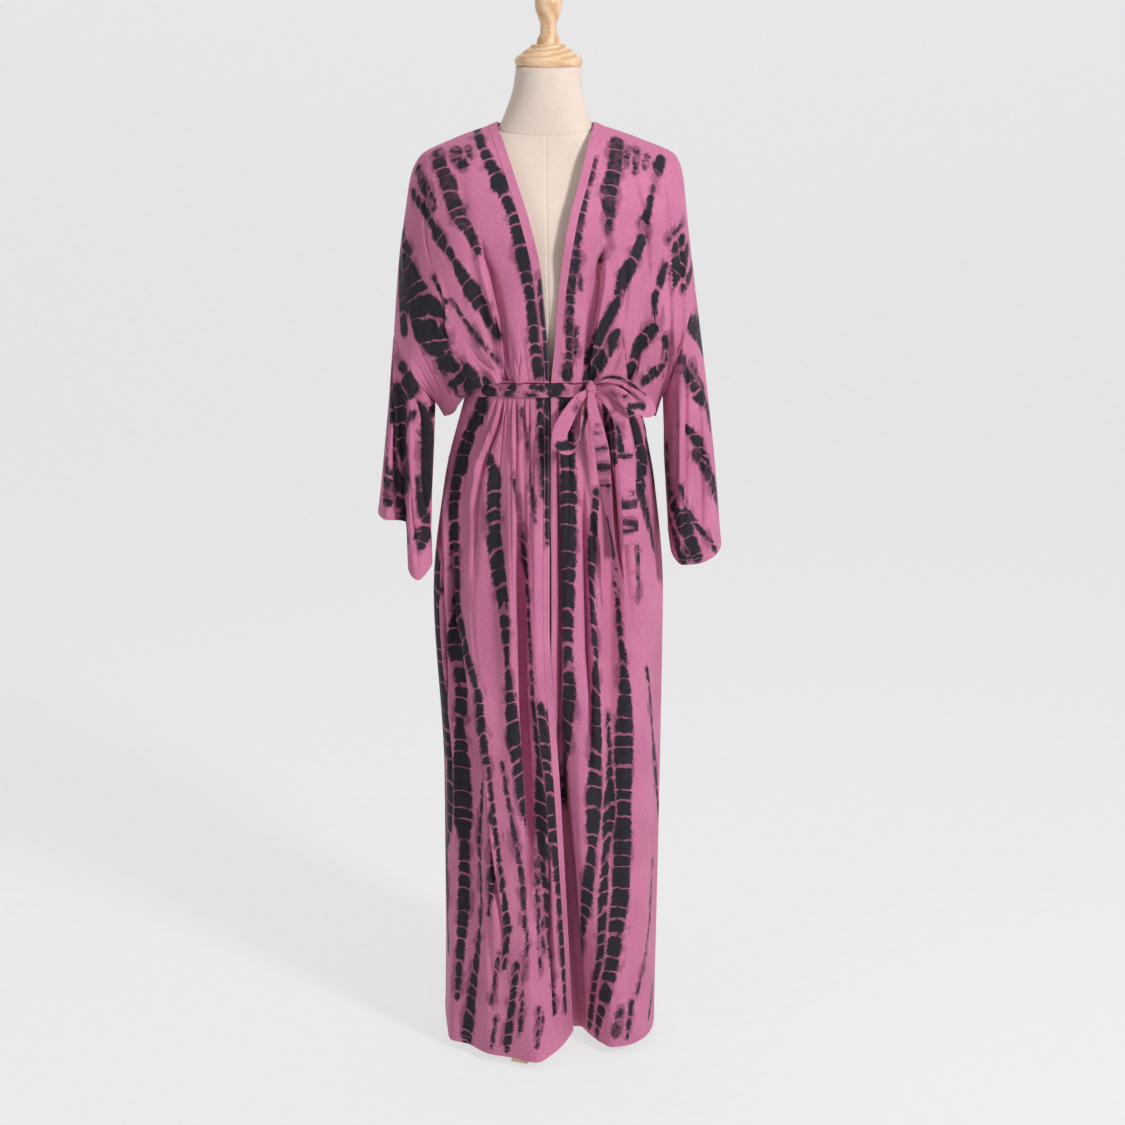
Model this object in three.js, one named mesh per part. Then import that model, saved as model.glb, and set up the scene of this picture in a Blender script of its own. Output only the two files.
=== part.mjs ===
// A long open kimono cover-up with a tied belt, worn by a linen dress form on a turned wooden stand.
// Millimetres, +Z up, the front faces -Y, +X is the garment's left as it is worn. The floor is z = 0.
import * as THREE from "three";

// Cloth
const WALL = 1.4;
const BAND_WALL = 2.2;
const BAND_WIDTH = 13;
const SEAM_GAP = 0.7;
// A sleeve stands further off its seam, where it turns back at the underarm.
const ARMHOLE_GAP = 0.7;
const HEM_Z = 14;

// Waist, under the belt: half widths to the wearer's right and left, depth to the front and back
const WAIST = { right: 124, left: 132, front: 104, back: 92 };
// Lowest roll of the cloth that blouses over the belt
const BLOUSE = { right: 156, left: 159, front: 117, back: 104 };
const BELT_HEIGHT = 21;
const BELT_WALL = 2.6;
const BELT_CLEARANCE = 1.2;
// Where the bloused cloth passes the belt's upper edge: above it and out from the waist
const BELT_LIP = 2;
const BELT_STAND = 6;
const BELT_FRONT_Z = 1047.5;
const BELT_SIDE_Z = 1032;

// Outline of the cloth above the belt, sleeves included. Its edge is the shoulder seam.
const DRAPE = [
  { z: 1424, right: 66, left: 57, front: 26, back: 44 },
  { z: 1420, right: 74, left: 65, front: 34, back: 54 },
  { z: 1398, right: 134, left: 128, front: 58, back: 72 },
  { z: 1372, right: 185, left: 184, front: 78, back: 84 },
  { z: 1345, right: 199, left: 194, front: 95, back: 94 },
  { z: 1294, right: 208, left: 200, front: 119, back: 104 },
  { z: 1236, right: 217, left: 207, front: 139, back: 110 },
  { z: 1177, right: 223, left: 215, front: 144, back: 110 },
  { z: 1115, right: 228, left: 224, front: 138, back: 106 },
  { z: 1060, right: 233, left: 231, front: 119, back: 102 },
  { z: 980, right: 241, left: 240, front: 112, back: 98 },
];
const DRAPE_POWER = 2.3;

// Front edges seen from the front, from the neck down to the belt
const FRONT_EDGE = [
  { z: 1420, right: -74, left: 65 },
  { z: 1391, right: -62, left: 56 },
  { z: 1342, right: -44, left: 43 },
  { z: 1292, right: -27, left: 29 },
  { z: 1225, right: -11, left: 18 },
  { z: 1170, right: -6, left: 12.5 },
  { z: 1119, right: -1.5, left: 9 },
  { z: 1082, right: 1, left: 5.5 },
  { z: 1061, right: 1.3, left: 3.3 },
];

// Where the armhole seam starts on top of the arm
const ARMHOLE_TOP = { right: 1115, left: 1180 };
// Share of the way from the shoulder seam to the blouse roll at which the armhole ends
const ARMHOLE_END = 0.83;

// How the cloth rolls over the belt, by share of the panel from its middle to its side:
// height of the roll and how far it stands out, from 0 at the waist to 1 at the blouse's full width
const ROLL_FRONT = [
  { u: 0, z: 1061, out: 0.2 },
  { u: 0.17, z: 1061, out: 0.3 },
  { u: 0.3, z: 1060, out: 0.45 },
  { u: 0.5, z: 1055, out: 0.75 },
  { u: 0.62, z: 1044, out: 0.95 },
  { u: 0.75, z: 1023, out: 1 },
  { u: 0.88, z: 1002, out: 1 },
  { u: 1, z: 990, out: 1 },
];
const ROLL_BACK = [
  { u: 0, z: 1044, out: 1 },
  { u: 0.3, z: 1042, out: 1 },
  { u: 0.6, z: 1030, out: 1 },
  { u: 0.82, z: 1008, out: 1 },
  { u: 1, z: 990, out: 1 },
];

// Folds that rise from the belt into the chest: foot and head seen from the front, depth and half width
const CHEST_FOLDS = [
  { footX: -59, headX: -93, headZ: 1262, depth: 15, width: 17 },
  { footX: -40, headX: -52, headZ: 1160, depth: -7, width: 12 },
  { footX: -84, headX: -150, headZ: 1200, depth: 7, width: 16 },
  { footX: 56, headX: 82, headZ: 1262, depth: 16, width: 17 },
  { footX: 36, headX: 50, headZ: 1170, depth: -7, width: 12 },
  { footX: 84, headX: 140, headZ: 1190, depth: 8, width: 16 },
  { footX: 112, headX: 176, headZ: 1300, depth: 9, width: 14 },
];
const BACK_FOLDS = [
  { footX: -70, headX: -120, headZ: 1250, depth: 9, width: 18 },
  { footX: -26, headX: -34, headZ: 1190, depth: 8, width: 15 },
  { footX: 24, headX: 30, headZ: 1210, depth: 8, width: 15 },
  { footX: 70, headX: 122, headZ: 1240, depth: 9, width: 18 },
];

// Folds of the skirt, one row each from the front edge round to the side seam:
// share of the panel's width, angle at the belt, then the place at the hip, the knee and the hem
const HIGH_HIP_Z = 895;
const HIP_Z = 715;
// Share of the way out from the waist to the hip that is reached at the high hip
const HIGH_HIP = 0.62;
const KNEE_Z = 430;
const SKIRT_RIGHT = [
  { u: 0, angle: 0.5, hipX: 1, hipY: -131, kneeX: 17, kneeY: -119, hemX: 36, hemY: -44 },
  { u: 0.08, angle: -7, hipX: -20, hipY: -136, kneeX: -4, kneeY: -130, hemX: 24, hemY: -84 },
  { u: 0.17, angle: -14, hipX: -38, hipY: -122, kneeX: -25, kneeY: -116, hemX: 6, hemY: -122 },
  { u: 0.28, angle: -21, hipX: -54, hipY: -139, kneeX: -48, kneeY: -133, hemX: -20, hemY: -153 },
  { u: 0.4, angle: -29, hipX: -80, hipY: -114, kneeX: -72, kneeY: -126, hemX: -58, hemY: -136 },
  { u: 0.54, angle: -40, hipX: -116, hipY: -104, kneeX: -90, kneeY: -121, hemX: -92, hemY: -124 },
  { u: 0.68, angle: -55, hipX: -132, hipY: -66, kneeX: -104, kneeY: -84, hemX: -126, hemY: -90 },
  { u: 0.84, angle: -72, hipX: -166, hipY: -42, kneeX: -148, kneeY: -62, hemX: -155, hemY: -72 },
  { u: 1, angle: -90, hipX: -175, hipY: 0, kneeX: -162, kneeY: -4, hemX: -163, hemY: -14 },
];
const SKIRT_LEFT = [
  { u: 0, angle: 1.5, hipX: 4, hipY: -130, kneeX: -4, kneeY: -103, hemX: 12, hemY: -26 },
  { u: 0.1, angle: 9, hipX: 24, hipY: -135, kneeX: 24, kneeY: -107, hemX: 46, hemY: -28 },
  { u: 0.22, angle: 17, hipX: 46, hipY: -133, kneeX: 48, kneeY: -124, hemX: 64, hemY: -58 },
  { u: 0.34, angle: 26, hipX: 68, hipY: -127, kneeX: 70, kneeY: -119, hemX: 80, hemY: -84 },
  { u: 0.48, angle: 39, hipX: 91, hipY: -98, kneeX: 92, kneeY: -104, hemX: 98, hemY: -101 },
  { u: 0.6, angle: 48, hipX: 112, hipY: -109, kneeX: 114, kneeY: -108, hemX: 124, hemY: -92 },
  { u: 0.76, angle: 62, hipX: 144, hipY: -72, kneeX: 146, kneeY: -74, hemX: 148, hemY: -66 },
  { u: 0.9, angle: 77, hipX: 161, hipY: -32, kneeX: 160, kneeY: -30, hemX: 161, hemY: -30 },
  { u: 1, angle: 90, hipX: 172, hipY: 0, kneeX: 170, kneeY: 0, hemX: 165, hemY: 0 },
];
// The back runs from the wearer's right side seam, u = -1, to the left one, u = 1
const SKIRT_BACK = [
  { u: -1, angle: -90, hipX: -175, hipY: 0, kneeX: -162, kneeY: -4, hemX: -163, hemY: -14 },
  { u: -0.86, angle: -106, hipX: -164, hipY: 48, kneeX: -160, kneeY: 44, hemX: -168, hemY: 42 },
  { u: -0.7, angle: -122, hipX: -138, hipY: 82, kneeX: -136, kneeY: 70, hemX: -134, hemY: 64 },
  { u: -0.54, angle: -137, hipX: -114, hipY: 114, kneeX: -118, kneeY: 114, hemX: -120, hemY: 120 },
  { u: -0.38, angle: -150, hipX: -80, hipY: 116, kneeX: -80, kneeY: 103, hemX: -80, hemY: 117 },
  { u: -0.2, angle: -164, hipX: -48, hipY: 134, kneeX: -48, kneeY: 134, hemX: -48, hemY: 142 },
  { u: -0.03, angle: -178, hipX: -8, hipY: 126, kneeX: -8, kneeY: 114, hemX: -8, hemY: 110 },
  { u: 0.15, angle: -193, hipX: 32, hipY: 137, kneeX: 32, kneeY: 137, hemX: 34, hemY: 146 },
  { u: 0.32, angle: -206, hipX: 64, hipY: 122, kneeX: 66, kneeY: 110, hemX: 66, hemY: 104 },
  { u: 0.5, angle: -220, hipX: 100, hipY: 118, kneeX: 102, kneeY: 120, hemX: 104, hemY: 128 },
  { u: 0.68, angle: -237, hipX: 130, hipY: 86, kneeX: 130, kneeY: 75, hemX: 132, hemY: 70 },
  { u: 0.85, angle: -254, hipX: 162, hipY: 50, kneeX: 162, kneeY: 48, hemX: 166, hemY: 48 },
  { u: 1, angle: -270, hipX: 172, hipY: 0, kneeX: 170, kneeY: 0, hemX: 165, hemY: 0 },
];

// Sleeve folds, one row each round the sleeve: 0 is on top of the arm, 0.25 the front, 0.5 the underarm.
// Each gives its place half way down and at the cuff.
const SLEEVE_RIGHT = [
  { turn: 0, midX: -246, midY: 2, midZ: 935, cuffX: -257, cuffY: 4, cuffZ: 842 },
  { turn: 0.1, midX: -236, midY: -40, midZ: 930, cuffX: -241, cuffY: -44, cuffZ: 841 },
  { turn: 0.19, midX: -216, midY: -30, midZ: 922, cuffX: -214, cuffY: -26, cuffZ: 833 },
  { turn: 0.27, midX: -204, midY: -58, midZ: 918, cuffX: -208, cuffY: -62, cuffZ: 768 },
  { turn: 0.36, midX: -190, midY: -44, midZ: 905, cuffX: -193, cuffY: -76, cuffZ: 757 },
  { turn: 0.43, midX: -176, midY: -26, midZ: 900, cuffX: -174, cuffY: -60, cuffZ: 778 },
  { turn: 0.52, midX: -174, midY: -2, midZ: 905, cuffX: -184, cuffY: -6, cuffZ: 784 },
  { turn: 0.66, midX: -186, midY: 42, midZ: 915, cuffX: -196, cuffY: 40, cuffZ: 804 },
  { turn: 0.84, midX: -222, midY: 48, midZ: 930, cuffX: -236, cuffY: 44, cuffZ: 834 },
];
const SLEEVE_LEFT = [
  { turn: 0, midX: 243, midY: 2, midZ: 960, cuffX: 259, cuffY: 2, cuffZ: 795 },
  { turn: 0.12, midX: 232, midY: -42, midZ: 950, cuffX: 247, cuffY: -46, cuffZ: 787 },
  { turn: 0.24, midX: 210, midY: -48, midZ: 940, cuffX: 221, cuffY: -60, cuffZ: 778 },
  { turn: 0.36, midX: 191, midY: -64, midZ: 935, cuffX: 198, cuffY: -58, cuffZ: 776 },
  { turn: 0.44, midX: 178, midY: -32, midZ: 925, cuffX: 183, cuffY: -30, cuffZ: 790 },
  { turn: 0.52, midX: 173, midY: 4, midZ: 925, cuffX: 180, cuffY: 8, cuffZ: 812 },
  { turn: 0.68, midX: 186, midY: 46, midZ: 935, cuffX: 196, cuffY: 54, cuffZ: 808 },
  { turn: 0.86, midX: 226, midY: 44, midZ: 950, cuffX: 240, cuffY: 44, cuffZ: 799 },
];

// The bow. Each row of a strap gives its centre, its width and the direction across it.
const KNOT = { x: 61, y: -105.5, z: 1050, wide: 8, deep: 8, high: 12, turn: 26 };
const STRAP_WALL = 2;
const LOOP_LOW = [
  { x: 54.2, y: -110.8, z: 1046, wide: 8, acrossX: 0.4, acrossY: -0.2, acrossZ: -0.9 },
  { x: 41, y: -121, z: 1035, wide: 15, acrossX: 0.75, acrossY: 0, acrossZ: -0.6 },
  { x: 26, y: -133, z: 1012, wide: 21, acrossX: 0.85, acrossY: 0, acrossZ: -0.5 },
  { x: 16, y: -142, z: 990, wide: 22, acrossX: 1, acrossY: 0, acrossZ: -0.1 },
  { x: 21, y: -145, z: 973, wide: 22, acrossX: 0.8, acrossY: 0.5, acrossZ: 0.3 },
  { x: 34, y: -141, z: 970, wide: 21, acrossX: 0.4, acrossY: 0.85, acrossZ: 0.3 },
  { x: 46, y: -133, z: 982, wide: 20, acrossX: 0.3, acrossY: 0.9, acrossZ: 0 },
  { x: 50, y: -125, z: 1003, wide: 18, acrossX: 0.4, acrossY: 0.8, acrossZ: 0 },
  { x: 57.4, y: -109.1, z: 1039, wide: 8, acrossX: 1, acrossY: 0.1, acrossZ: 0 },
];
const LOOP_HIGH = [
  { x: 69.4, y: -107.2, z: 1051, wide: 7, acrossX: 0, acrossY: -0.2, acrossZ: -1 },
  { x: 84, y: -118, z: 1054, wide: 14, acrossX: 0.35, acrossY: -0.2, acrossZ: -0.9 },
  { x: 99, y: -126, z: 1047, wide: 18, acrossX: 0.6, acrossY: -0.15, acrossZ: -0.8 },
  { x: 119, y: -127, z: 1033, wide: 21, acrossX: 0.65, acrossY: -0.1, acrossZ: -0.75 },
  { x: 138, y: -120, z: 1022, wide: 22, acrossX: 0.7, acrossY: 0.2, acrossZ: -0.7 },
  { x: 147, y: -111, z: 1024, wide: 22, acrossX: 0.7, acrossY: 0.5, acrossZ: -0.5 },
  { x: 141, y: -107, z: 1037, wide: 21, acrossX: 0.6, acrossY: 0.6, acrossZ: -0.5 },
  { x: 124, y: -113, z: 1054, wide: 20, acrossX: 0.4, acrossY: 0.7, acrossZ: -0.6 },
  { x: 103, y: -118, z: 1068, wide: 18, acrossX: 0.2, acrossY: 0.8, acrossZ: -0.6 },
  { x: 85, y: -116, z: 1070, wide: 14, acrossX: 0, acrossY: 0.8, acrossZ: -0.6 },
  { x: 67.6, y: -107.5, z: 1057.6, wide: 7, acrossX: -0.3, acrossY: 0.8, acrossZ: -0.4 },
];
const TAIL_FRONT = [
  { x: 60.5, y: -114.3, z: 1047, wide: 9, acrossX: 1, acrossY: 0, acrossZ: 0 },
  { x: 64, y: -126, z: 1020, wide: 16, acrossX: 1, acrossY: 0.1, acrossZ: 0.1 },
  { x: 76, y: -136, z: 968, wide: 21, acrossX: 0.95, acrossY: -0.2, acrossZ: 0.15 },
  { x: 82, y: -139, z: 915, wide: 22, acrossX: 0.75, acrossY: -0.6, acrossZ: 0.15 },
  { x: 88, y: -141, z: 867, wide: 22, acrossX: 0.4, acrossY: -0.9, acrossZ: 0.1 },
  { x: 95, y: -141, z: 816, wide: 22, acrossX: 0.3, acrossY: -0.95, acrossZ: 0.1 },
  { x: 100, y: -140, z: 771, wide: 22, acrossX: 0.75, acrossY: -0.6, acrossZ: 0.1 },
  { x: 101, y: -139, z: 750, wide: 22, acrossX: 0.8, acrossY: -0.55, acrossZ: 0.1 },
];
const TAIL_BACK = [
  { x: 67.5, y: -105.5, z: 1041.4, wide: 8, acrossX: 0.35, acrossY: 0, acrossZ: 0.9 },
  { x: 84, y: -115, z: 1034, wide: 14, acrossX: 0.6, acrossY: 0.2, acrossZ: 0.75 },
  { x: 98, y: -119, z: 1019, wide: 20, acrossX: 0.85, acrossY: 0.3, acrossZ: 0.4 },
  { x: 106, y: -121, z: 995, wide: 23, acrossX: 0.95, acrossY: 0.3, acrossZ: 0.15 },
  { x: 110, y: -124, z: 959, wide: 24, acrossX: 0.95, acrossY: 0.25, acrossZ: 0.1 },
  { x: 114, y: -127, z: 912, wide: 24, acrossX: 0.95, acrossY: 0.25, acrossZ: 0.03 },
  { x: 118, y: -129, z: 868, wide: 24, acrossX: 0.95, acrossY: 0.25, acrossZ: 0.02 },
  { x: 119, y: -130, z: 824, wide: 24, acrossX: 0.95, acrossY: 0.25, acrossZ: 0.02 },
];

// Dress form: middle and half width of each level, depth to the front and back
const FORM = [
  { z: 700, centre: 0, half: 150, front: 92, back: 96 },
  { z: 770, centre: 0, half: 155, front: 100, back: 103 },
  { z: 840, centre: 0, half: 150, front: 100, back: 103 },
  { z: 900, centre: 0, half: 138, front: 95, back: 95 },
  { z: 960, centre: 0, half: 124, front: 90, back: 84 },
  { z: 1015, centre: 0, half: 114, front: 88, back: 78 },
  { z: 1050, centre: 0, half: 112, front: 88, back: 77 },
  { z: 1100, centre: 0, half: 121, front: 96, back: 80 },
  { z: 1150, centre: 0, half: 135, front: 110, back: 86 },
  { z: 1205, centre: -1, half: 146, front: 121, back: 90 },
  { z: 1255, centre: -2, half: 153, front: 112, back: 92 },
  { z: 1305, centre: -3, half: 161, front: 94, back: 88 },
  { z: 1340, centre: -4, half: 166, front: 76, back: 78 },
  { z: 1366, centre: -4, half: 160, front: 60, back: 66 },
  { z: 1382, centre: -4, half: 138, front: 52, back: 58 },
  { z: 1395, centre: -4, half: 104, front: 47, back: 52 },
  { z: 1407, centre: -4, half: 75.5, front: 45, back: 49 },
  { z: 1420, centre: -4, half: 64.5, front: 45, back: 48 },
  { z: 1434, centre: -3, half: 59.5, front: 45, back: 47 },
  { z: 1450, centre: -2, half: 54.5, front: 46, back: 47 },
  { z: 1470, centre: -1, half: 49.5, front: 46.5, back: 47 },
  { z: 1499, centre: 0, half: 46.5, front: 46.5, back: 46.5 },
];
const FORM_POWER = 2.2;

// Turned wood: radius and height up the neck cap with its finial, and up the post
const CAP_PROFILE = [
  { r: 0, z: 1499.3 }, { r: 46, z: 1499.3 }, { r: 48.5, z: 1503 }, { r: 48.5, z: 1508 },
  { r: 46, z: 1512 }, { r: 39, z: 1516 }, { r: 37.5, z: 1519 }, { r: 31, z: 1523 },
  { r: 26, z: 1526 }, { r: 24.5, z: 1529 }, { r: 17.5, z: 1530 }, { r: 15.5, z: 1538 },
  { r: 11.5, z: 1545 }, { r: 12.5, z: 1548 }, { r: 11.3, z: 1550.5 }, { r: 12.5, z: 1553 },
  { r: 11, z: 1556 }, { r: 14, z: 1565 }, { r: 18.5, z: 1577 }, { r: 20, z: 1588 },
  { r: 18.8, z: 1592 }, { r: 20.2, z: 1595 }, { r: 18, z: 1602 }, { r: 12, z: 1609 },
  { r: 0, z: 1612 },
];
const POST_PROFILE = [
  { r: 0, z: 40 }, { r: 20, z: 40 }, { r: 30, z: 48 }, { r: 32, z: 60 },
  { r: 32, z: 118 }, { r: 26, z: 128 }, { r: 17, z: 136 }, { r: 17, z: 640 },
  { r: 24, z: 650 }, { r: 24, z: 662 }, { r: 44, z: 670 }, { r: 44, z: 699.6 },
  { r: 0, z: 699.6 },
];
// Legs: where each one points, seen from above, then how far they reach and how high they stand
const LEGS = [
  { name: "leg_front", heading: 249.6 },
  { name: "leg_left", heading: 9.6 },
  { name: "leg_right", heading: 129.6 },
];
const LEG_THICK = 26;
const LEG_ROOT = 32.3;
const LEG_REACH = 134;
const LEG_SHOULDER = 116;
const LEG_UNDERSIDE = 66;
const LEG_TOE = 14;
const LEG_PAD = 34;
// Places that pull each curve of the leg, from its start and from its end
const LEG_TOP_CURVE = [{ r: 38, z: 112 }, { r: 52, z: 44 }];
const LEG_UNDER_CURVE = [{ r: 34, z: 22 }, { r: 26, z: 58 }];

// How finely each shape is cut
const SEAM_STEPS = 120;
const BELT_STEPS = 64;
const STRAP_STEPS = { loopLow: 18, loopHigh: 20, tailFront: 12, tailBack: 10 };
const KNOT_STEPS = { around: 16, down: 10 };
const FORM_STEPS = 28;
const CAP_STEPS = 28;
const POST_STEPS = 20;
const LEG_CURVE_STEPS = 8;
const COLUMNS_FRONT = 24;
const COLUMNS_BACK = 40;
const CHEST_ROWS = [0, 0.03, 0.08, 0.15, 0.24, 0.34, 0.44, 0.54, 0.64, 0.74, ARMHOLE_END, 0.93, 1];
const ARMHOLE_ROW = CHEST_ROWS.indexOf(ARMHOLE_END);
const SKIRT_ROWS = [1000, 962, HIGH_HIP_Z, 810, HIP_Z, 570, KNEE_Z, 290, 150, HEM_Z];
const SLEEVE_ROWS = [0, 0.1, 0.22, 0.36, 0.5, 0.62, 0.74, 0.86, 0.95, 1];
// Strips a few points wide: the belt and its bow, by share of the width
const ACROSS_STRAP = [-0.5, 0, 0.5];
const ACROSS_BAND = [0, 0.5, 1];
const SLEEVE_TENSION = 0.5;
// Points this near to each other are one point of a seam
const WELD = 0.05;
const TINY = 1e-6;

const radians = THREE.MathUtils.degToRad;
const { lerp, smoothstep } = THREE.MathUtils;
const point = (x, y, z) => new THREE.Vector3(x, y, z);

// Reads every column of a table at one value of its key column, smoothly and without overshoot.
function readTable(table, key, at) {
  const rising = table[table.length - 1][key] > table[0][key];
  const rows = rising ? table : [...table].reverse();
  const value = Math.min(Math.max(at, rows[0][key]), rows[rows.length - 1][key]);
  let i = 0;
  while (i < rows.length - 2 && value > rows[i + 1][key]) i += 1;
  const step = (k) => rows[k + 1][key] - rows[k][key];
  const t = (value - rows[i][key]) / step(i);
  const read = {};
  for (const column of Object.keys(rows[0])) {
    const slope = (k) => (rows[k + 1][column] - rows[k][column]) / step(k);
    const tangent = (k) => {
      if (k === 0) return slope(0);
      if (k === rows.length - 1) return slope(k - 1);
      const [before, after] = [slope(k - 1), slope(k)];
      return before * after <= 0 ? 0 : (2 * before * after) / (before + after);
    };
    const [a, b, h] = [rows[i][column], rows[i + 1][column], step(i)];
    read[column] =
      a * (2 * t ** 3 - 3 * t ** 2 + 1) +
      tangent(i) * h * (t ** 3 - 2 * t ** 2 + t) +
      b * (3 * t ** 2 - 2 * t ** 3) +
      tangent(i + 1) * h * (t ** 3 - t ** 2);
  }
  return read;
}

// A point on a ring with its own half width on each side and its own depth to the front and back.
// Angle 0 is the front, 90 degrees the wearer's left and -90 the right.
function onRing(ring, angle, z) {
  const a = radians(angle);
  const depth = Math.cos(a) > 0 ? ring.front : ring.back;
  const half = Math.sin(a) > 0 ? ring.left : ring.right;
  return point(half * Math.sin(a), -depth * Math.cos(a), z);
}

const beltZ = (angle) => lerp(BELT_SIDE_Z, BELT_FRONT_Z, Math.max(0, Math.cos(radians(angle))));

// The shoulder seam and its run down over the top of the arm, by share of its length.
function shoulderLine(side) {
  const top = FRONT_EDGE[0].z;
  const line = [];
  let length = 0;
  for (let i = 0; i <= SEAM_STEPS; i += 1) {
    const z = lerp(top, ARMHOLE_TOP[side], i / SEAM_STEPS);
    const x = readTable(DRAPE, "z", z)[side];
    if (i > 0) length += Math.hypot(x - line[i - 1].x, z - line[i - 1].z);
    line.push({ length, x, z });
  }
  return (u) => readTable(line, "length", u * length);
}
const SHOULDER = { right: shoulderLine("right"), left: shoulderLine("left") };

// Depth of the draped cloth at a place seen from the front, towards the front or the back.
function drapeDepth(x, z, face) {
  const row = readTable(DRAPE, "z", z);
  const half = x < 0 ? row.right : row.left;
  const share = Math.min(1, Math.abs(x) / half);
  return row[face] * Math.sqrt(Math.max(0, 1 - share ** DRAPE_POWER));
}

// A fold widens from its foot to its head, where it has faded out.
const FOLD_FOOT = 0.55;
const FOLD_HEAD = 1.3;
const FOLD_FADE = 0.7;

function foldDepth(folds, x, z) {
  let depth = 0;
  for (const fold of folds) {
    const up = (z - BELT_FRONT_Z) / (fold.headZ - BELT_FRONT_Z);
    if (up >= 1) continue;
    const rise = Math.max(0, up);
    const width = fold.width * lerp(FOLD_FOOT, FOLD_HEAD, rise);
    const offset = (x - lerp(fold.footX, fold.headX, rise)) / width;
    depth += fold.depth * (1 - rise) ** FOLD_FADE * Math.exp(-offset * offset);
  }
  return depth;
}

const SKIRT = { right: SKIRT_RIGHT, left: SKIRT_LEFT, back: SKIRT_BACK };

function rollOver(table, across, angle) {
  const roll = readTable(table, "u", across);
  return onRing(WAIST, angle, roll.z).lerp(onRing(BLOUSE, angle, roll.z), roll.out);
}

// Shares of a panel's height from which its folds show and it settles towards the belt,
// and the share of its width beyond which the folds fade into the armhole
const FOLDS_SHOW = 0.3;
const SETTLE_FROM = 0.3;
const FOLDS_FADE = 0.86;
const foldShare = (across, w) => smoothstep(w, 0, FOLDS_SHOW) * (1 - smoothstep(across, FOLDS_FADE, 1));
// The front edge's own curve reaches this far into the panel, and starts this far below the shoulder
const BOW_REACH = 0.5;
const BOW_FADE = 1.5;
const BOW_START = 0.05;

// A point of the chest of a front panel: u from the front edge to the armhole, w from the shoulder
// seam to the roll over the belt.
function frontChest(side, u, w) {
  const sign = side === "right" ? -1 : 1;
  const top = SHOULDER[side](u);
  const roll = rollOver(ROLL_FRONT, u, readTable(SKIRT[side], "u", u).angle);
  const z = lerp(top.z, roll.z, w);
  const neck = FRONT_EDGE[0];
  const base = FRONT_EDGE[FRONT_EDGE.length - 1];
  const straight = lerp(neck[side], base[side], (neck.z - z) / (neck.z - base.z));
  const bow = readTable(FRONT_EDGE, "z", z)[side] - straight;
  const bowed = Math.max(0, 1 - u / BOW_REACH) ** BOW_FADE * smoothstep(w, 0, BOW_START);
  const x = lerp(sign * top.x, roll.x, w) + bow * bowed;
  const settle = smoothstep(w, SETTLE_FROM, 1);
  const folds = foldDepth(CHEST_FOLDS, x, z) * foldShare(u, w);
  return point(x, lerp(-drapeDepth(x, z, "front"), roll.y, settle) + folds, z);
}

// Share of the back's width that the neckline takes up
const NECK_SHARE = 0.2;
// Widths of the flat front panels, bands included
const FRONT_WIDTH = { right: 382, left: 326 };
const BAND_SHARE = { right: BAND_WIDTH / FRONT_WIDTH.right, left: BAND_WIDTH / FRONT_WIDTH.left };
const BAND_COLUMNS = 3;
const NECK_BACK = { y: 58, z: 1400 };
const NECK_ROUND = 0.8;
const QUARTER = 90;
// The neck band stands up from the neckline and leans forward
const NECK_BAND = { rise: 12, lean: 4.2 };
// Share of the back's height over which the neckline settles into the drape
const NECK_BLEND = 0.16;

// The back neckline, from the wearer's right shoulder to the left, at the band's foot or its top.
function neckline(share, raised) {
  const side = share < 0 ? "right" : "left";
  const end = SHOULDER[side](raised ? 0 : BAND_SHARE[side]);
  const t = Math.abs(share);
  const band = raised ? NECK_BAND : { rise: 0, lean: 0 };
  return point(
    Math.sign(share) * end.x * Math.sin(radians(QUARTER * t)),
    (NECK_BACK.y - band.lean) * Math.cos(radians(QUARTER * t)) ** NECK_ROUND,
    lerp(NECK_BACK.z + band.rise, end.z, t * t),
  );
}

// A point of the back above the belt: u from the wearer's right armhole, -1, to the left one, 1.
function backChest(u, w) {
  const side = u < 0 ? "right" : "left";
  const sign = u < 0 ? -1 : 1;
  const across = Math.abs(u);
  const roll = rollOver(ROLL_BACK, across, readTable(SKIRT.back, "u", u).angle);
  let top;
  if (across < NECK_SHARE) {
    top = neckline(u / NECK_SHARE, false);
  } else {
    const along = lerp(BAND_SHARE[side], 1, (across - NECK_SHARE) / (1 - NECK_SHARE));
    const seam = SHOULDER[side](along);
    top = point(sign * seam.x, 0, seam.z);
  }
  const x = lerp(top.x, roll.x, w);
  const z = lerp(top.z, roll.z, w);
  const settle = smoothstep(w, 0, 1);
  const reach = NECK_BLEND * Math.max(0, 1 - across / NECK_SHARE) + TINY;
  const drape = lerp(top.y, drapeDepth(x, z, "back"), smoothstep(w, -TINY, reach));
  return point(x, lerp(drape, roll.y, settle) - foldDepth(BACK_FOLDS, x, z) * foldShare(across, w), z);
}

// Share of the way from the roll to the belt's upper edge at which the cloth is turned under:
// where the roll is above the belt, and where it hangs in front of it, with its rise there
const TURN_ABOVE = 0.6;
const TURN_BEFORE = 0.7;
const TURN_RISE = 0.2;

// The cloth turns under at its roll, runs up outside the belt and in over the belt's upper edge.
function tuck(roll, angle) {
  const top = beltZ(angle) + BELT_HEIGHT / 2;
  const waist = onRing(WAIST, angle, top);
  const outward = onRing(WAIST, angle, 0).setZ(0).normalize();
  const beside = (out, z) => waist.clone().addScaledVector(outward, out).setZ(z);
  const lip = top + BELT_LIP;
  const upper = beside(BELT_STAND, lip);
  if (roll.z > lip) return [roll.clone().lerp(upper, TURN_ABOVE), upper, waist];
  const turned = roll.clone().lerp(beside(BELT_STAND, top), TURN_BEFORE);
  return [turned.setZ(lerp(roll.z, top, TURN_RISE)), upper, waist];
}

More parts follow.
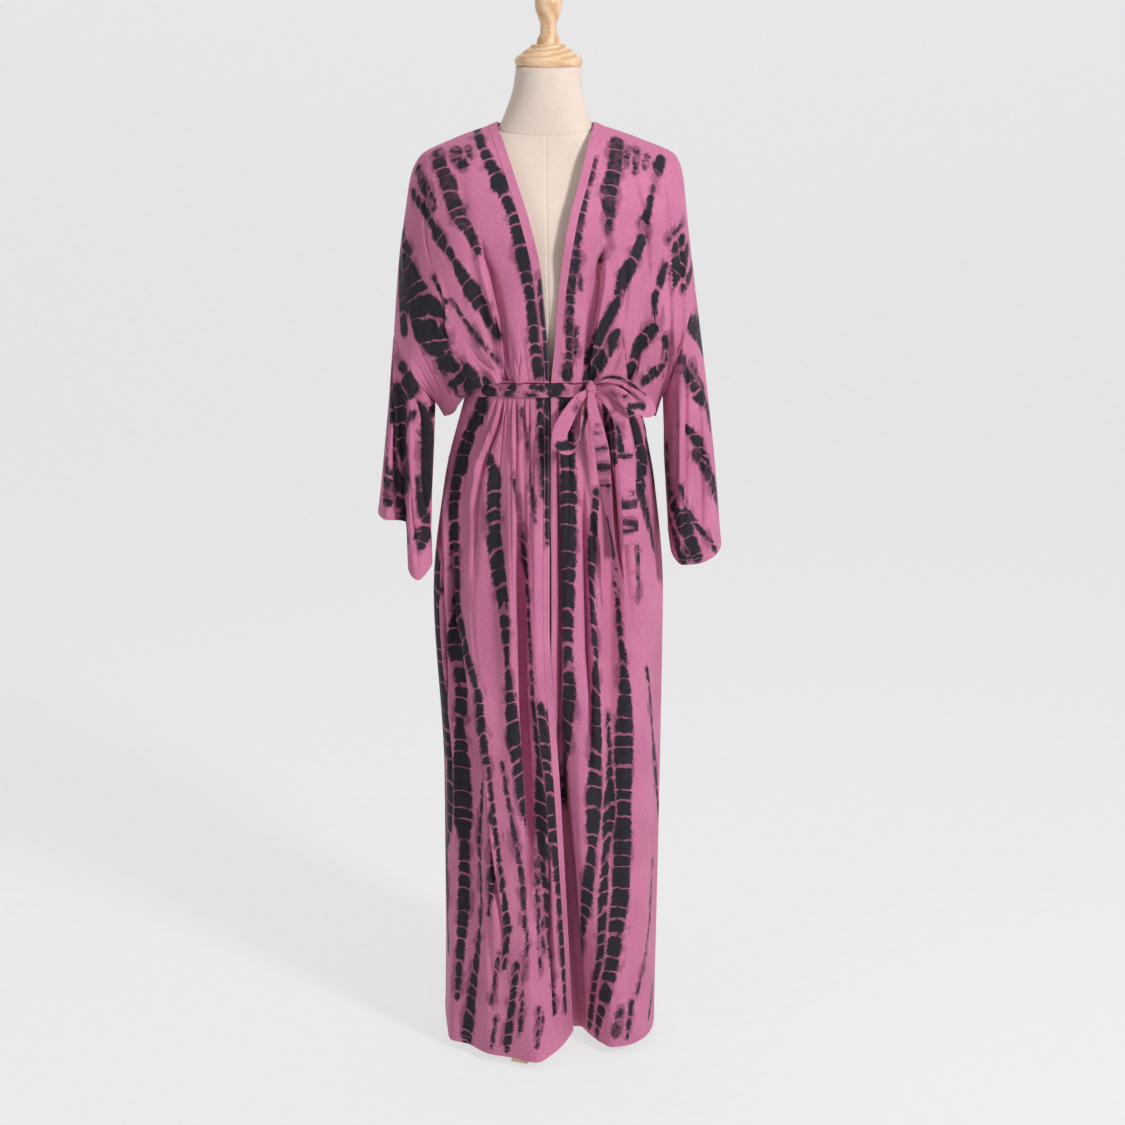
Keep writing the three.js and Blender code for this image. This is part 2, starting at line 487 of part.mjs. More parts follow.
// A point of the skirt, from the fold table of its panel.
function skirtAt(table, u, z) {
  const fold = readTable(table, "u", u);
  const waist = onRing(WAIST, fold.angle, beltZ(fold.angle) - BELT_HEIGHT / 2);
  const fall = readTable(
    [
      { z: waist.z, x: waist.x, y: waist.y },
      { z: HIGH_HIP_Z, x: lerp(waist.x, fold.hipX, HIGH_HIP), y: lerp(waist.y, fold.hipY, HIGH_HIP) },
      { z: HIP_Z, x: fold.hipX, y: fold.hipY },
      { z: KNEE_Z, x: fold.kneeX, y: fold.kneeY },
      { z: HEM_Z, x: fold.hemX, y: fold.hemY },
    ],
    "z",
    z,
  );
  return point(fall.x, fall.y, z);
}

// All rows of one body panel: the chest, the tuck, the strip behind the belt and the skirt.
function bodyGrid(columns, chest, table) {
  const rows = CHEST_ROWS.map((w) => columns.map((u) => chest(u, w)));
  const angles = columns.map((u) => readTable(table, "u", u).angle);
  const tucks = rows[rows.length - 1].map((roll, i) => tuck(roll, angles[i]));
  tucks[0].forEach((_, k) => rows.push(tucks.map((column) => column[k])));
  rows.push(angles.map((angle) => onRing(WAIST, angle, beltZ(angle) - BELT_HEIGHT / 2)));
  for (const z of SKIRT_ROWS) rows.push(columns.map((u) => skirtAt(table, u, z)));
  return rows;
}

function frontGrid(side) {
  const edge = BAND_SHARE[side];
  const columns = [0, edge / 2, edge];
  for (let i = 1; i <= COLUMNS_FRONT; i += 1) columns.push(lerp(edge, 1, i / COLUMNS_FRONT));
  return bodyGrid(columns, (u, w) => frontChest(side, u, w), SKIRT[side]);
}

function backGrid() {
  const columns = [];
  for (let i = 0; i <= COLUMNS_BACK; i += 1) columns.push((2 * i) / COLUMNS_BACK - 1);
  return bodyGrid(columns, backChest, SKIRT.back);
}

// A ring of the sleeve: its folds read smoothly all the way round.
function sleeveRing(table, turns, level) {
  const round = [
    ...table.map((row) => ({ ...row, turn: row.turn - 1 })),
    ...table,
    ...table.map((row) => ({ ...row, turn: row.turn + 1 })),
  ];
  return turns.map((turn) => {
    const fold = readTable(round, "turn", turn);
    return point(fold[`${level}X`], fold[`${level}Y`], fold[`${level}Z`]);
  });
}

// The sleeve starts on the armhole seam, so its first ring is made of the panels' own points.
function sleeveGrid(frontSeam, backSeam, table) {
  const ring = [...frontSeam, ...backSeam.slice(1, -1).reverse()];
  const turns = ring.map((_, i) => i / ring.length);
  const middle = sleeveRing(table, turns, "mid");
  const cuff = sleeveRing(table, turns, "cuff");
  const rows = SLEEVE_ROWS.map((t) =>
    ring.map((seam, i) => {
      const places = [seam, middle[i], cuff[i]];
      const curve = new THREE.CatmullRomCurve3(places, false, "catmullrom", SLEEVE_TENSION);
      return t === 0 ? seam.clone() : curve.getPoint(t);
    }),
  );
  return rows.map((row) => [...row, row[0]]);
}

// Strap through the rows of a table, three points across.
function strapGrid(table, steps) {
  const ways = table.map((row) => point(row.acrossX, row.acrossY, row.acrossZ));
  const centre = new THREE.CatmullRomCurve3(table.map((row) => point(row.x, row.y, row.z)));
  const across = new THREE.CatmullRomCurve3(ways);
  const width = new THREE.SplineCurve(table.map((row, i) => new THREE.Vector2(i, row.wide)));
  const rows = [];
  for (let i = 0; i <= steps; i += 1) {
    const c = centre.getPoint(i / steps);
    const run = centre.getTangent(i / steps);
    const a = across.getPoint(i / steps);
    a.addScaledVector(run, -a.dot(run)).normalize();
    const wide = width.getPoint(i / steps).y;
    rows.push(ACROSS_STRAP.map((share) => c.clone().addScaledVector(a, share * wide)));
  }
  return rows;
}

// Cloth pieces: a grid of points each, and which of its borders is sewn to another piece.
const panels = [];
function addPanel(name, rows, seams, wall, colour, closed = false) {
  panels.push({ name, rows, seams, wall, colour, closed });
}

const columnOf = (rows, i) => rows.map((row) => row[i]);
const SLEEVE = { right: SLEEVE_RIGHT, left: SLEEVE_LEFT };
const keep = (rows, from, to) => rows.map((row) => row.slice(from, to));

const MAUVE = 0xb95f8f;
const LINEN = 0xe6dccd;
const WOOD = 0xd9a766;
const ROUGHNESS = { [MAUVE]: 0.85, [LINEN]: 0.9, [WOOD]: 0.45 };

function addGarment() {
  const back = backGrid();
  for (const side of ["right", "left"]) {
    const rows = frontGrid(side);
    const last = rows[0].length - 1;
    const mirrored = side === "left";
    const turned = (grid) => grid.map((row) => [...row].reverse());
    const [face, faceSleeve] = mirrored ? [(grid) => grid, turned] : [turned, (grid) => grid];
    const frontSeam = columnOf(rows, last).slice(0, ARMHOLE_ROW + 1);
    const backSeam = columnOf(back, side === "right" ? 0 : COLUMNS_BACK).slice(0, ARMHOLE_ROW + 1);
    addPanel(`front_${side}`, face(keep(rows, BAND_COLUMNS - 1)), ["top", "first", "last"], WALL, MAUVE);
    const bandSeams = ["top", mirrored ? "last" : "first"];
    addPanel(`front_band_${side}`, face(keep(rows, 0, BAND_COLUMNS)), bandSeams, BAND_WALL, MAUVE);
    const sleeve = sleeveGrid(frontSeam, backSeam, SLEEVE[side]);
    addPanel(`sleeve_${side}`, faceSleeve(sleeve), ["top"], WALL, MAUVE, true);
  }
  addPanel("back", back.map((row) => [...row].reverse()), ["top", "first", "last"], WALL, MAUVE);
  const neckColumns = [];
  const first = Math.round(((1 - NECK_SHARE) / 2) * COLUMNS_BACK);
  for (let i = first; i <= COLUMNS_BACK - first; i += 1) {
    neckColumns.push(((2 * i) / COLUMNS_BACK - 1) / NECK_SHARE);
  }
  const band = ACROSS_BAND.map((t) =>
    neckColumns.map((share) => neckline(share, true).lerp(neckline(share, false), t)).reverse(),
  );
  addPanel("neck_band", band, ["bottom", "first", "last"], BAND_WALL, MAUVE);
}

// Normals summed over every panel that shares a point, so that walls meet squarely at their seams.
const keyOf = (p) => [p.x, p.y, p.z].map((v) => Math.round(v / WELD)).join();
function seamNormals() {
  const sums = new Map();
  const add = (p, n) => {
    const key = keyOf(p);
    if (!sums.has(key)) sums.set(key, point(0, 0, 0));
    sums.get(key).add(n);
  };
  for (const { rows } of panels) {
    for (let r = 0; r < rows.length - 1; r += 1) {
      for (let c = 0; c < rows[r].length - 1; c += 1) {
        const [a, b, d, e] = [rows[r][c], rows[r][c + 1], rows[r + 1][c], rows[r + 1][c + 1]];
        const n = e.clone().sub(a).cross(b.clone().sub(d)).normalize();
        for (const p of [a, b, d, e]) add(p, n);
      }
    }
  }
  return sums;
}

function pulledIn(rows, seams, shift) {
  const pull = (p, towards) => {
    const way = towards.clone().sub(p);
    return p.clone().addScaledVector(way.normalize(), shift);
  };
  let grid = rows.map((row) => row.map((p) => p.clone()));
  const end = grid[0].length - 1;
  if (seams.includes("first")) grid = grid.map((row) => [pull(row[0], row[1]), ...row.slice(1)]);
  if (seams.includes("last")) grid = grid.map((row) => [...row.slice(0, end), pull(row[end], row[end - 1])]);
  if (seams.includes("top")) grid[0] = grid[0].map((p, c) => pull(p, grid[1][c]));
  const bottom = grid.length - 1;
  if (seams.includes("bottom")) grid[bottom] = grid[bottom].map((p, c) => pull(p, grid[bottom - 1][c]));
  return grid;
}

// A closed wall of even thickness over a grid of points.
function wallGeometry(rows, normals, wall, closed) {
  const [height, width] = [rows.length, rows[0].length];
  const positions = [];
  for (const half of [wall / 2, -wall / 2]) {
    rows.forEach((row, r) =>
      row.forEach((p, c) => {
        const q = p.clone().addScaledVector(normals[r][c], half);
        positions.push(q.x, q.y, q.z);
      }),
    );
  }
  const outer = (r, c) => r * width + (closed ? c % (width - 1) : c);
  const inner = (r, c) => height * width + outer(r, c);
  const index = [];
  const quad = (a, b, c, d) => index.push(a, b, c, a, c, d);
  for (let r = 0; r < height - 1; r += 1) {
    for (let c = 0; c < width - 1; c += 1) {
      quad(outer(r, c), outer(r + 1, c), outer(r + 1, c + 1), outer(r, c + 1));
      quad(inner(r, c), inner(r, c + 1), inner(r + 1, c + 1), inner(r + 1, c));
    }
    if (!closed) {
      quad(outer(r, 0), inner(r, 0), inner(r + 1, 0), outer(r + 1, 0));
      quad(outer(r + 1, width - 1), inner(r + 1, width - 1), inner(r, width - 1), outer(r, width - 1));
    }
  }
  for (let c = 0; c < width - 1; c += 1) {
    quad(outer(0, c + 1), inner(0, c + 1), inner(0, c), outer(0, c));
    quad(outer(height - 1, c), inner(height - 1, c), inner(height - 1, c + 1), outer(height - 1, c + 1));
  }
  const geometry = new THREE.BufferGeometry();
  geometry.setAttribute("position", new THREE.Float32BufferAttribute(positions, 3));
  geometry.setIndex(index);
  return geometry;
}

const garment = new THREE.Group();

function addMesh(name, geometry, colour) {
  const look = { color: colour, roughness: ROUGHNESS[colour], metalness: 0 };
  const material = new THREE.MeshStandardMaterial(look);
  const mesh = new THREE.Mesh(geometry, material);
  mesh.name = name;
  garment.add(mesh);
  return mesh;
}

function buildPanels() {
  const sums = seamNormals();
  for (const { name, rows, seams, wall, colour, closed } of panels) {
    const normals = rows.map((row) => row.map((p) => sums.get(keyOf(p)).clone().normalize()));
    const shift = closed ? ARMHOLE_GAP : SEAM_GAP / 2;
    addMesh(name, wallGeometry(pulledIn(rows, seams, shift), normals, wall, closed), colour);
  }
  panels.length = 0;
}

// The belt's turn round the waist: a flat strap, its upper and lower edge drawn in a little.
const BELT_EDGE = 0.5;

function beltGeometry() {
  const out = WALL / 2 + BELT_CLEARANCE + BELT_WALL / 2;
  const rows = ACROSS_STRAP.map((share) => {
    const row = [];
    for (let i = 0; i < BELT_STEPS; i += 1) {
      const angle = (360 * i) / BELT_STEPS - 180;
      const p = onRing(WAIST, angle, beltZ(angle) - share * (BELT_HEIGHT - 2 * BELT_EDGE));
      row.push(p.addScaledVector(point(p.x, p.y, 0).normalize(), out));
    }
    return [...row, row[0]];
  });
  const normals = rows.map((row) => row.map((p) => point(p.x, p.y, 0).normalize()));
  return wallGeometry(rows, normals, BELT_WALL, true);
}

function knotGeometry() {
  const geometry = new THREE.SphereGeometry(1, KNOT_STEPS.around, KNOT_STEPS.down);
  geometry.scale(KNOT.wide, KNOT.deep, KNOT.high);
  geometry.rotateZ(radians(KNOT.turn));
  geometry.translate(KNOT.x, KNOT.y, KNOT.z);
  return geometry;
}

function addBelt() {
  addMesh("belt", beltGeometry(), MAUVE);
  addMesh("belt_knot", knotGeometry(), MAUVE);
  addPanel("belt_loop_low", strapGrid(LOOP_LOW, STRAP_STEPS.loopLow), [], STRAP_WALL, MAUVE);
  addPanel("belt_loop_high", strapGrid(LOOP_HIGH, STRAP_STEPS.loopHigh), [], STRAP_WALL, MAUVE);
  addPanel("belt_tail_front", strapGrid(TAIL_FRONT, STRAP_STEPS.tailFront), [], STRAP_WALL, MAUVE);
  addPanel("belt_tail_back", strapGrid(TAIL_BACK, STRAP_STEPS.tailBack), [], STRAP_WALL, MAUVE);
  buildPanels();
}

// A solid through rings of even point count, closed by flat ends.
function loftGeometry(rings) {
  const count = rings[0].length;
  const positions = rings.flat().flatMap((p) => [p.x, p.y, p.z]);
  const index = [];
  for (let r = 0; r < rings.length - 1; r += 1) {
    for (let i = 0; i < count; i += 1) {
      const [a, b] = [r * count + i, r * count + ((i + 1) % count)];
      index.push(a, b, b + count, a, b + count, a + count);
    }
  }
  const top = (rings.length - 1) * count;
  for (let i = 1; i < count - 1; i += 1) {
    index.push(0, i + 1, i);
    index.push(top, top + i, top + i + 1);
  }
  const geometry = new THREE.BufferGeometry();
  geometry.setAttribute("position", new THREE.Float32BufferAttribute(positions, 3));
  geometry.setIndex(index);
  return geometry;
}

function formGeometry() {
  const curve = (v) => Math.sign(v) * Math.abs(v) ** (2 / FORM_POWER);
  const rings = FORM.map((row) => {
    const ring = [];
    for (let i = 0; i < FORM_STEPS; i += 1) {
      const a = (2 * Math.PI * i) / FORM_STEPS;
      const depth = Math.sin(a) < 0 ? row.front : row.back;
      ring.push(point(row.centre + row.half * curve(Math.cos(a)), depth * curve(Math.sin(a)), row.z));
    }
    return ring;
  });
  return loftGeometry(rings);
}

function turnedGeometry(profile, segments) {
  const geometry = new THREE.LatheGeometry(profile.map(({ r, z }) => new THREE.Vector2(r, z)), segments);
  return geometry.rotateX(Math.PI / 2);
}

// A curved wooden leg, from the foot of the post to a flat pad on the floor.
function legGeometry() {
  const reach = LEG_REACH - LEG_ROOT;
  const shape = new THREE.Shape();
  const curveTo = ([start, end], r, z) => shape.bezierCurveTo(start.r, start.z, end.r, end.z, r, z);
  shape.moveTo(0, LEG_SHOULDER);
  curveTo(LEG_TOP_CURVE, reach, LEG_TOE);
  shape.lineTo(reach, 0);
  shape.lineTo(reach - LEG_PAD, 0);
  curveTo(LEG_UNDER_CURVE, 0, LEG_UNDERSIDE);
  shape.closePath();
  const extrusion = { depth: LEG_THICK, bevelEnabled: false, curveSegments: LEG_CURVE_STEPS };
  const geometry = new THREE.ExtrudeGeometry(shape, extrusion);
  return geometry.translate(0, 0, -LEG_THICK / 2).rotateX(Math.PI / 2).translate(LEG_ROOT, 0, 0);
}

function addStand() {
  addMesh("dress_form", formGeometry(), LINEN);
  addMesh("neck_cap", turnedGeometry(CAP_PROFILE, CAP_STEPS), WOOD);
  addMesh("post", turnedGeometry(POST_PROFILE, POST_STEPS), WOOD);
  for (const { name, heading } of LEGS) {
    const leg = addMesh(name, legGeometry(), WOOD);
    leg.rotation.z = radians(heading);
  }
}

addGarment();
buildPanels();
addBelt();
addStand();

export default garment;
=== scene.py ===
"""The looks of a long tie-dyed kimono cover-up on a linen dress form, built round its CAD frame."""
import math

import bpy
import numpy as np
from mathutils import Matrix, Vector


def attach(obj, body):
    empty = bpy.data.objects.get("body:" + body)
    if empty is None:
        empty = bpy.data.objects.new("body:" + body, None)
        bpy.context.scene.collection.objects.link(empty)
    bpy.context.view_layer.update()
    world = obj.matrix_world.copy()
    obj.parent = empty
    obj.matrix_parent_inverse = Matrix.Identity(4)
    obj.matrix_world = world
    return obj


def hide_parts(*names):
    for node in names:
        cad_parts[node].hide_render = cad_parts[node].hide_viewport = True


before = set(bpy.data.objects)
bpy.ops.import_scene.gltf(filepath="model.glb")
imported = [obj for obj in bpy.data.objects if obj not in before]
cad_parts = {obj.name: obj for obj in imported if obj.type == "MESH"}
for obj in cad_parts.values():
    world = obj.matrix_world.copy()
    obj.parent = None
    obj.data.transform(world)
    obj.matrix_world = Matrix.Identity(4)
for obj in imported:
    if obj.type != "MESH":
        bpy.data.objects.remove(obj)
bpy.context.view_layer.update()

# Metres in a millimetre; all sizes below are in millimetres where nothing else is said
MM = 0.001
TINY = 1e-6

# Thickness of the cloth, of the doubled bands and of the belt's folded strips
PLY, BAND_PLY, STRAP_WALL, BELT_WALL = 0.9, 2.0, 2.0, 2.6
# The frame's cloth wall, and the belt's clearance from it
WALL, BELT_CLEARANCE = 1.4, 1.2
BELT_OUT = WALL / 2 + BELT_CLEARANCE + BELT_WALL / 2

# Turned wood: radius and height up the neck cap with its finial, and up the post
CAP_PROFILE = [
    (0, 1499.3), (46, 1499.3), (48.5, 1503), (48.5, 1508), (46, 1512), (39, 1516), (37.5, 1519),
    (31, 1523), (26, 1526), (24.5, 1529), (17.5, 1530), (15.5, 1538), (11.5, 1545), (12.5, 1548),
    (11.3, 1550.5), (12.5, 1553), (11, 1556), (14, 1565), (18.5, 1577), (20, 1588), (18.8, 1592),
    (20.2, 1595), (18, 1602), (12, 1609), (0, 1612),
]
POST_PROFILE = [
    (0, 40), (20, 40), (30, 48), (32, 60), (32, 118), (26, 128), (17, 136), (17, 640), (24, 650), (24, 662),
    (44, 670), (44, 699.6), (0, 699.6),
]
# A turned edge is rounded over this length, or this share of its shorter side
ROUND_EDGE, ROUND_SHARE, CORNER_STEPS, TURNED_STEPS = 0.9, 0.3, 3, 96

# Colours as they look on a screen
PINK_LOW, PINK_HIGH, PINK_SLUB, PINK_WARP = (189, 105, 144), (207, 121, 160), (222, 146, 178), (170, 92, 129)
DARK_LOW, DARK_HIGH, HALO = (30, 29, 38), (46, 42, 54), (122, 62, 94)
LINEN_LOW, LINEN_HIGH, LINEN_SLUB = (229, 211, 198), (237, 221, 208), (215, 197, 183)
WOOD_LOW, WOOD_HIGH, WOOD_PORE = (216, 170, 126), (240, 206, 168), (184, 134, 90)
THREAD_LOW, THREAD_HIGH = (190, 130, 158), (216, 168, 190)
STAGE_LOW, STAGE_HIGH, GLOW_LOW, GLOW_HIGH = [(grey, grey, grey) for grey in (126, 130, 230, 234)]

# Light: of the world, of the floor and of each lamp, by name, place, aim, size (metres) and power (watts)
WORLD_LIGHT, STAGE_GLOW = 0.17, 0.82
LAMPS = [
    ("key_right", (2.7, -2.9, 3.1), (0, 0, 0.9), 0.8, 142),
    ("fill_left", (-3.2, -3.0, 2.4), (0, 0, 0.9), 2.2, 22),
    ("top", (0.0, 0.0, 4.4), (0, 0, 0.8), 2.4, 40),
]
# The floor and the backdrop that it curves up into, in metres
STAGE = dict(half=9.0, front=-6.0, back=5.0, rise=5.0, radius=1.6, below=0.0005, bends=16)

# The camera, in millimetres and degrees, its focal length in the photograph's pixels and its sensor
CAMERA_AT, CAMERA_TILT, CAMERA_FOCAL, FRAME_SIZE, SENSOR = (20, -3400, 1650), 14.6, 2324, 1125, 36
# Size of a pixel on the cloth
PIXEL = 1.47
# How a noted pixel finds its place on a panel: reaches tried, in pixels, then depth of the skin that faces
# the camera and the least step down the cloth from note to note
SEARCH_REACH, SKIN_DEPTH, ROW_STEP = (1.6, 3, 6, 10), 12, 3
# Panels whose own columns run against the picture's
MIRRORED = ("fr", "sl")

# How finely each shape is cut
FRONT_COLUMNS, BACK_COLUMNS, BAND_COLUMNS, NECK_COLUMNS = 170, 216, 9, 97
CHEST_STEPS, SKIRT_STEPS, TURN_STEPS = 112, 92, 6
SLEEVE_COLUMNS, SLEEVE_ROWS, SHOULDER_STEPS = 145, 84, 240
STRAP_STEPS, STRAP_ROUND, BELT_ROUND = 10, 28, 320
KNOT_ROUND, KNOT_ROWS, FORM_ROUND, FORM_ROWS = 48, 30, 128, 140
# Rows lie closer towards the belt, above it and below it
CHEST_SPACING, SKIRT_SPACING = 1.25, 1.08
CHEST_SHARES = 1 - (1 - np.linspace(0, 1, CHEST_STEPS)) ** CHEST_SPACING
SKIRT_SHARES = np.linspace(0, 1, SKIRT_STEPS) ** SKIRT_SPACING

# Length round the sleeve as its cloth lies flat
SLEEVE_TURN = 360

# Hems and seams: cloth turned up, where it steps down to one ply, and the ply's share that shows
HEM_TURNED, CUFF_TURNED, HEM_STEP, HEM_SHARE = 22, 12, 2, 0.5
# The armhole's seam is pressed in, down to a share of the chest's rows
ARMHOLE_GROOVE, SEAM_REACH, ARMHOLE_SHARE = 1.4, 3.2, 0.7
# The sleeve's creases fade out towards the seam
SLEEVE_HOLD = 0.08
# The form's seams: the one round its neck rises towards the back, and one runs down from it in front
NECK_SEAM = dict(z=1404, rise=10, fade=80, rows=np.array([0.4, 1.1, 2.0]))
FRONT_SEAM = dict(at=1.5 * np.pi, columns=np.array([0.0033, 0.009, 0.018]))
FORM_SEAM_DEPTH, FORM_SEAM_REACH = 0.8, 0.9
# Stitches: their spacing, length and thickness, then how far from the hem and the cuff they run
STITCH_STEP, STITCH_LONG, STITCH_THICK, HEM_STITCH, CUFF_STITCH = 3.2, 2.3, 0.6, 20, 10
# Size of a stitch at shares of its length, how deep it sits, and its lift off the middle of a hem
STITCH_PROFILE, STITCH_SUNK, HEM_LIFT = ((0, 0.5), (0.5, 1), (1, 0.5)), 0.7, 0.75 * PLY
# Columns of a band that are stitched, and rows at its ends that aren't
BAND_STITCHES, STITCH_ENDS = dict(edge=1, seam=7), 2

# Half a stripe's width on the cloth for each pixel noted, dye that has spread included
DYE_SPREAD, SLEEVE_SPREAD, LEAST_HALF = 1.72, 1.9, 2.3
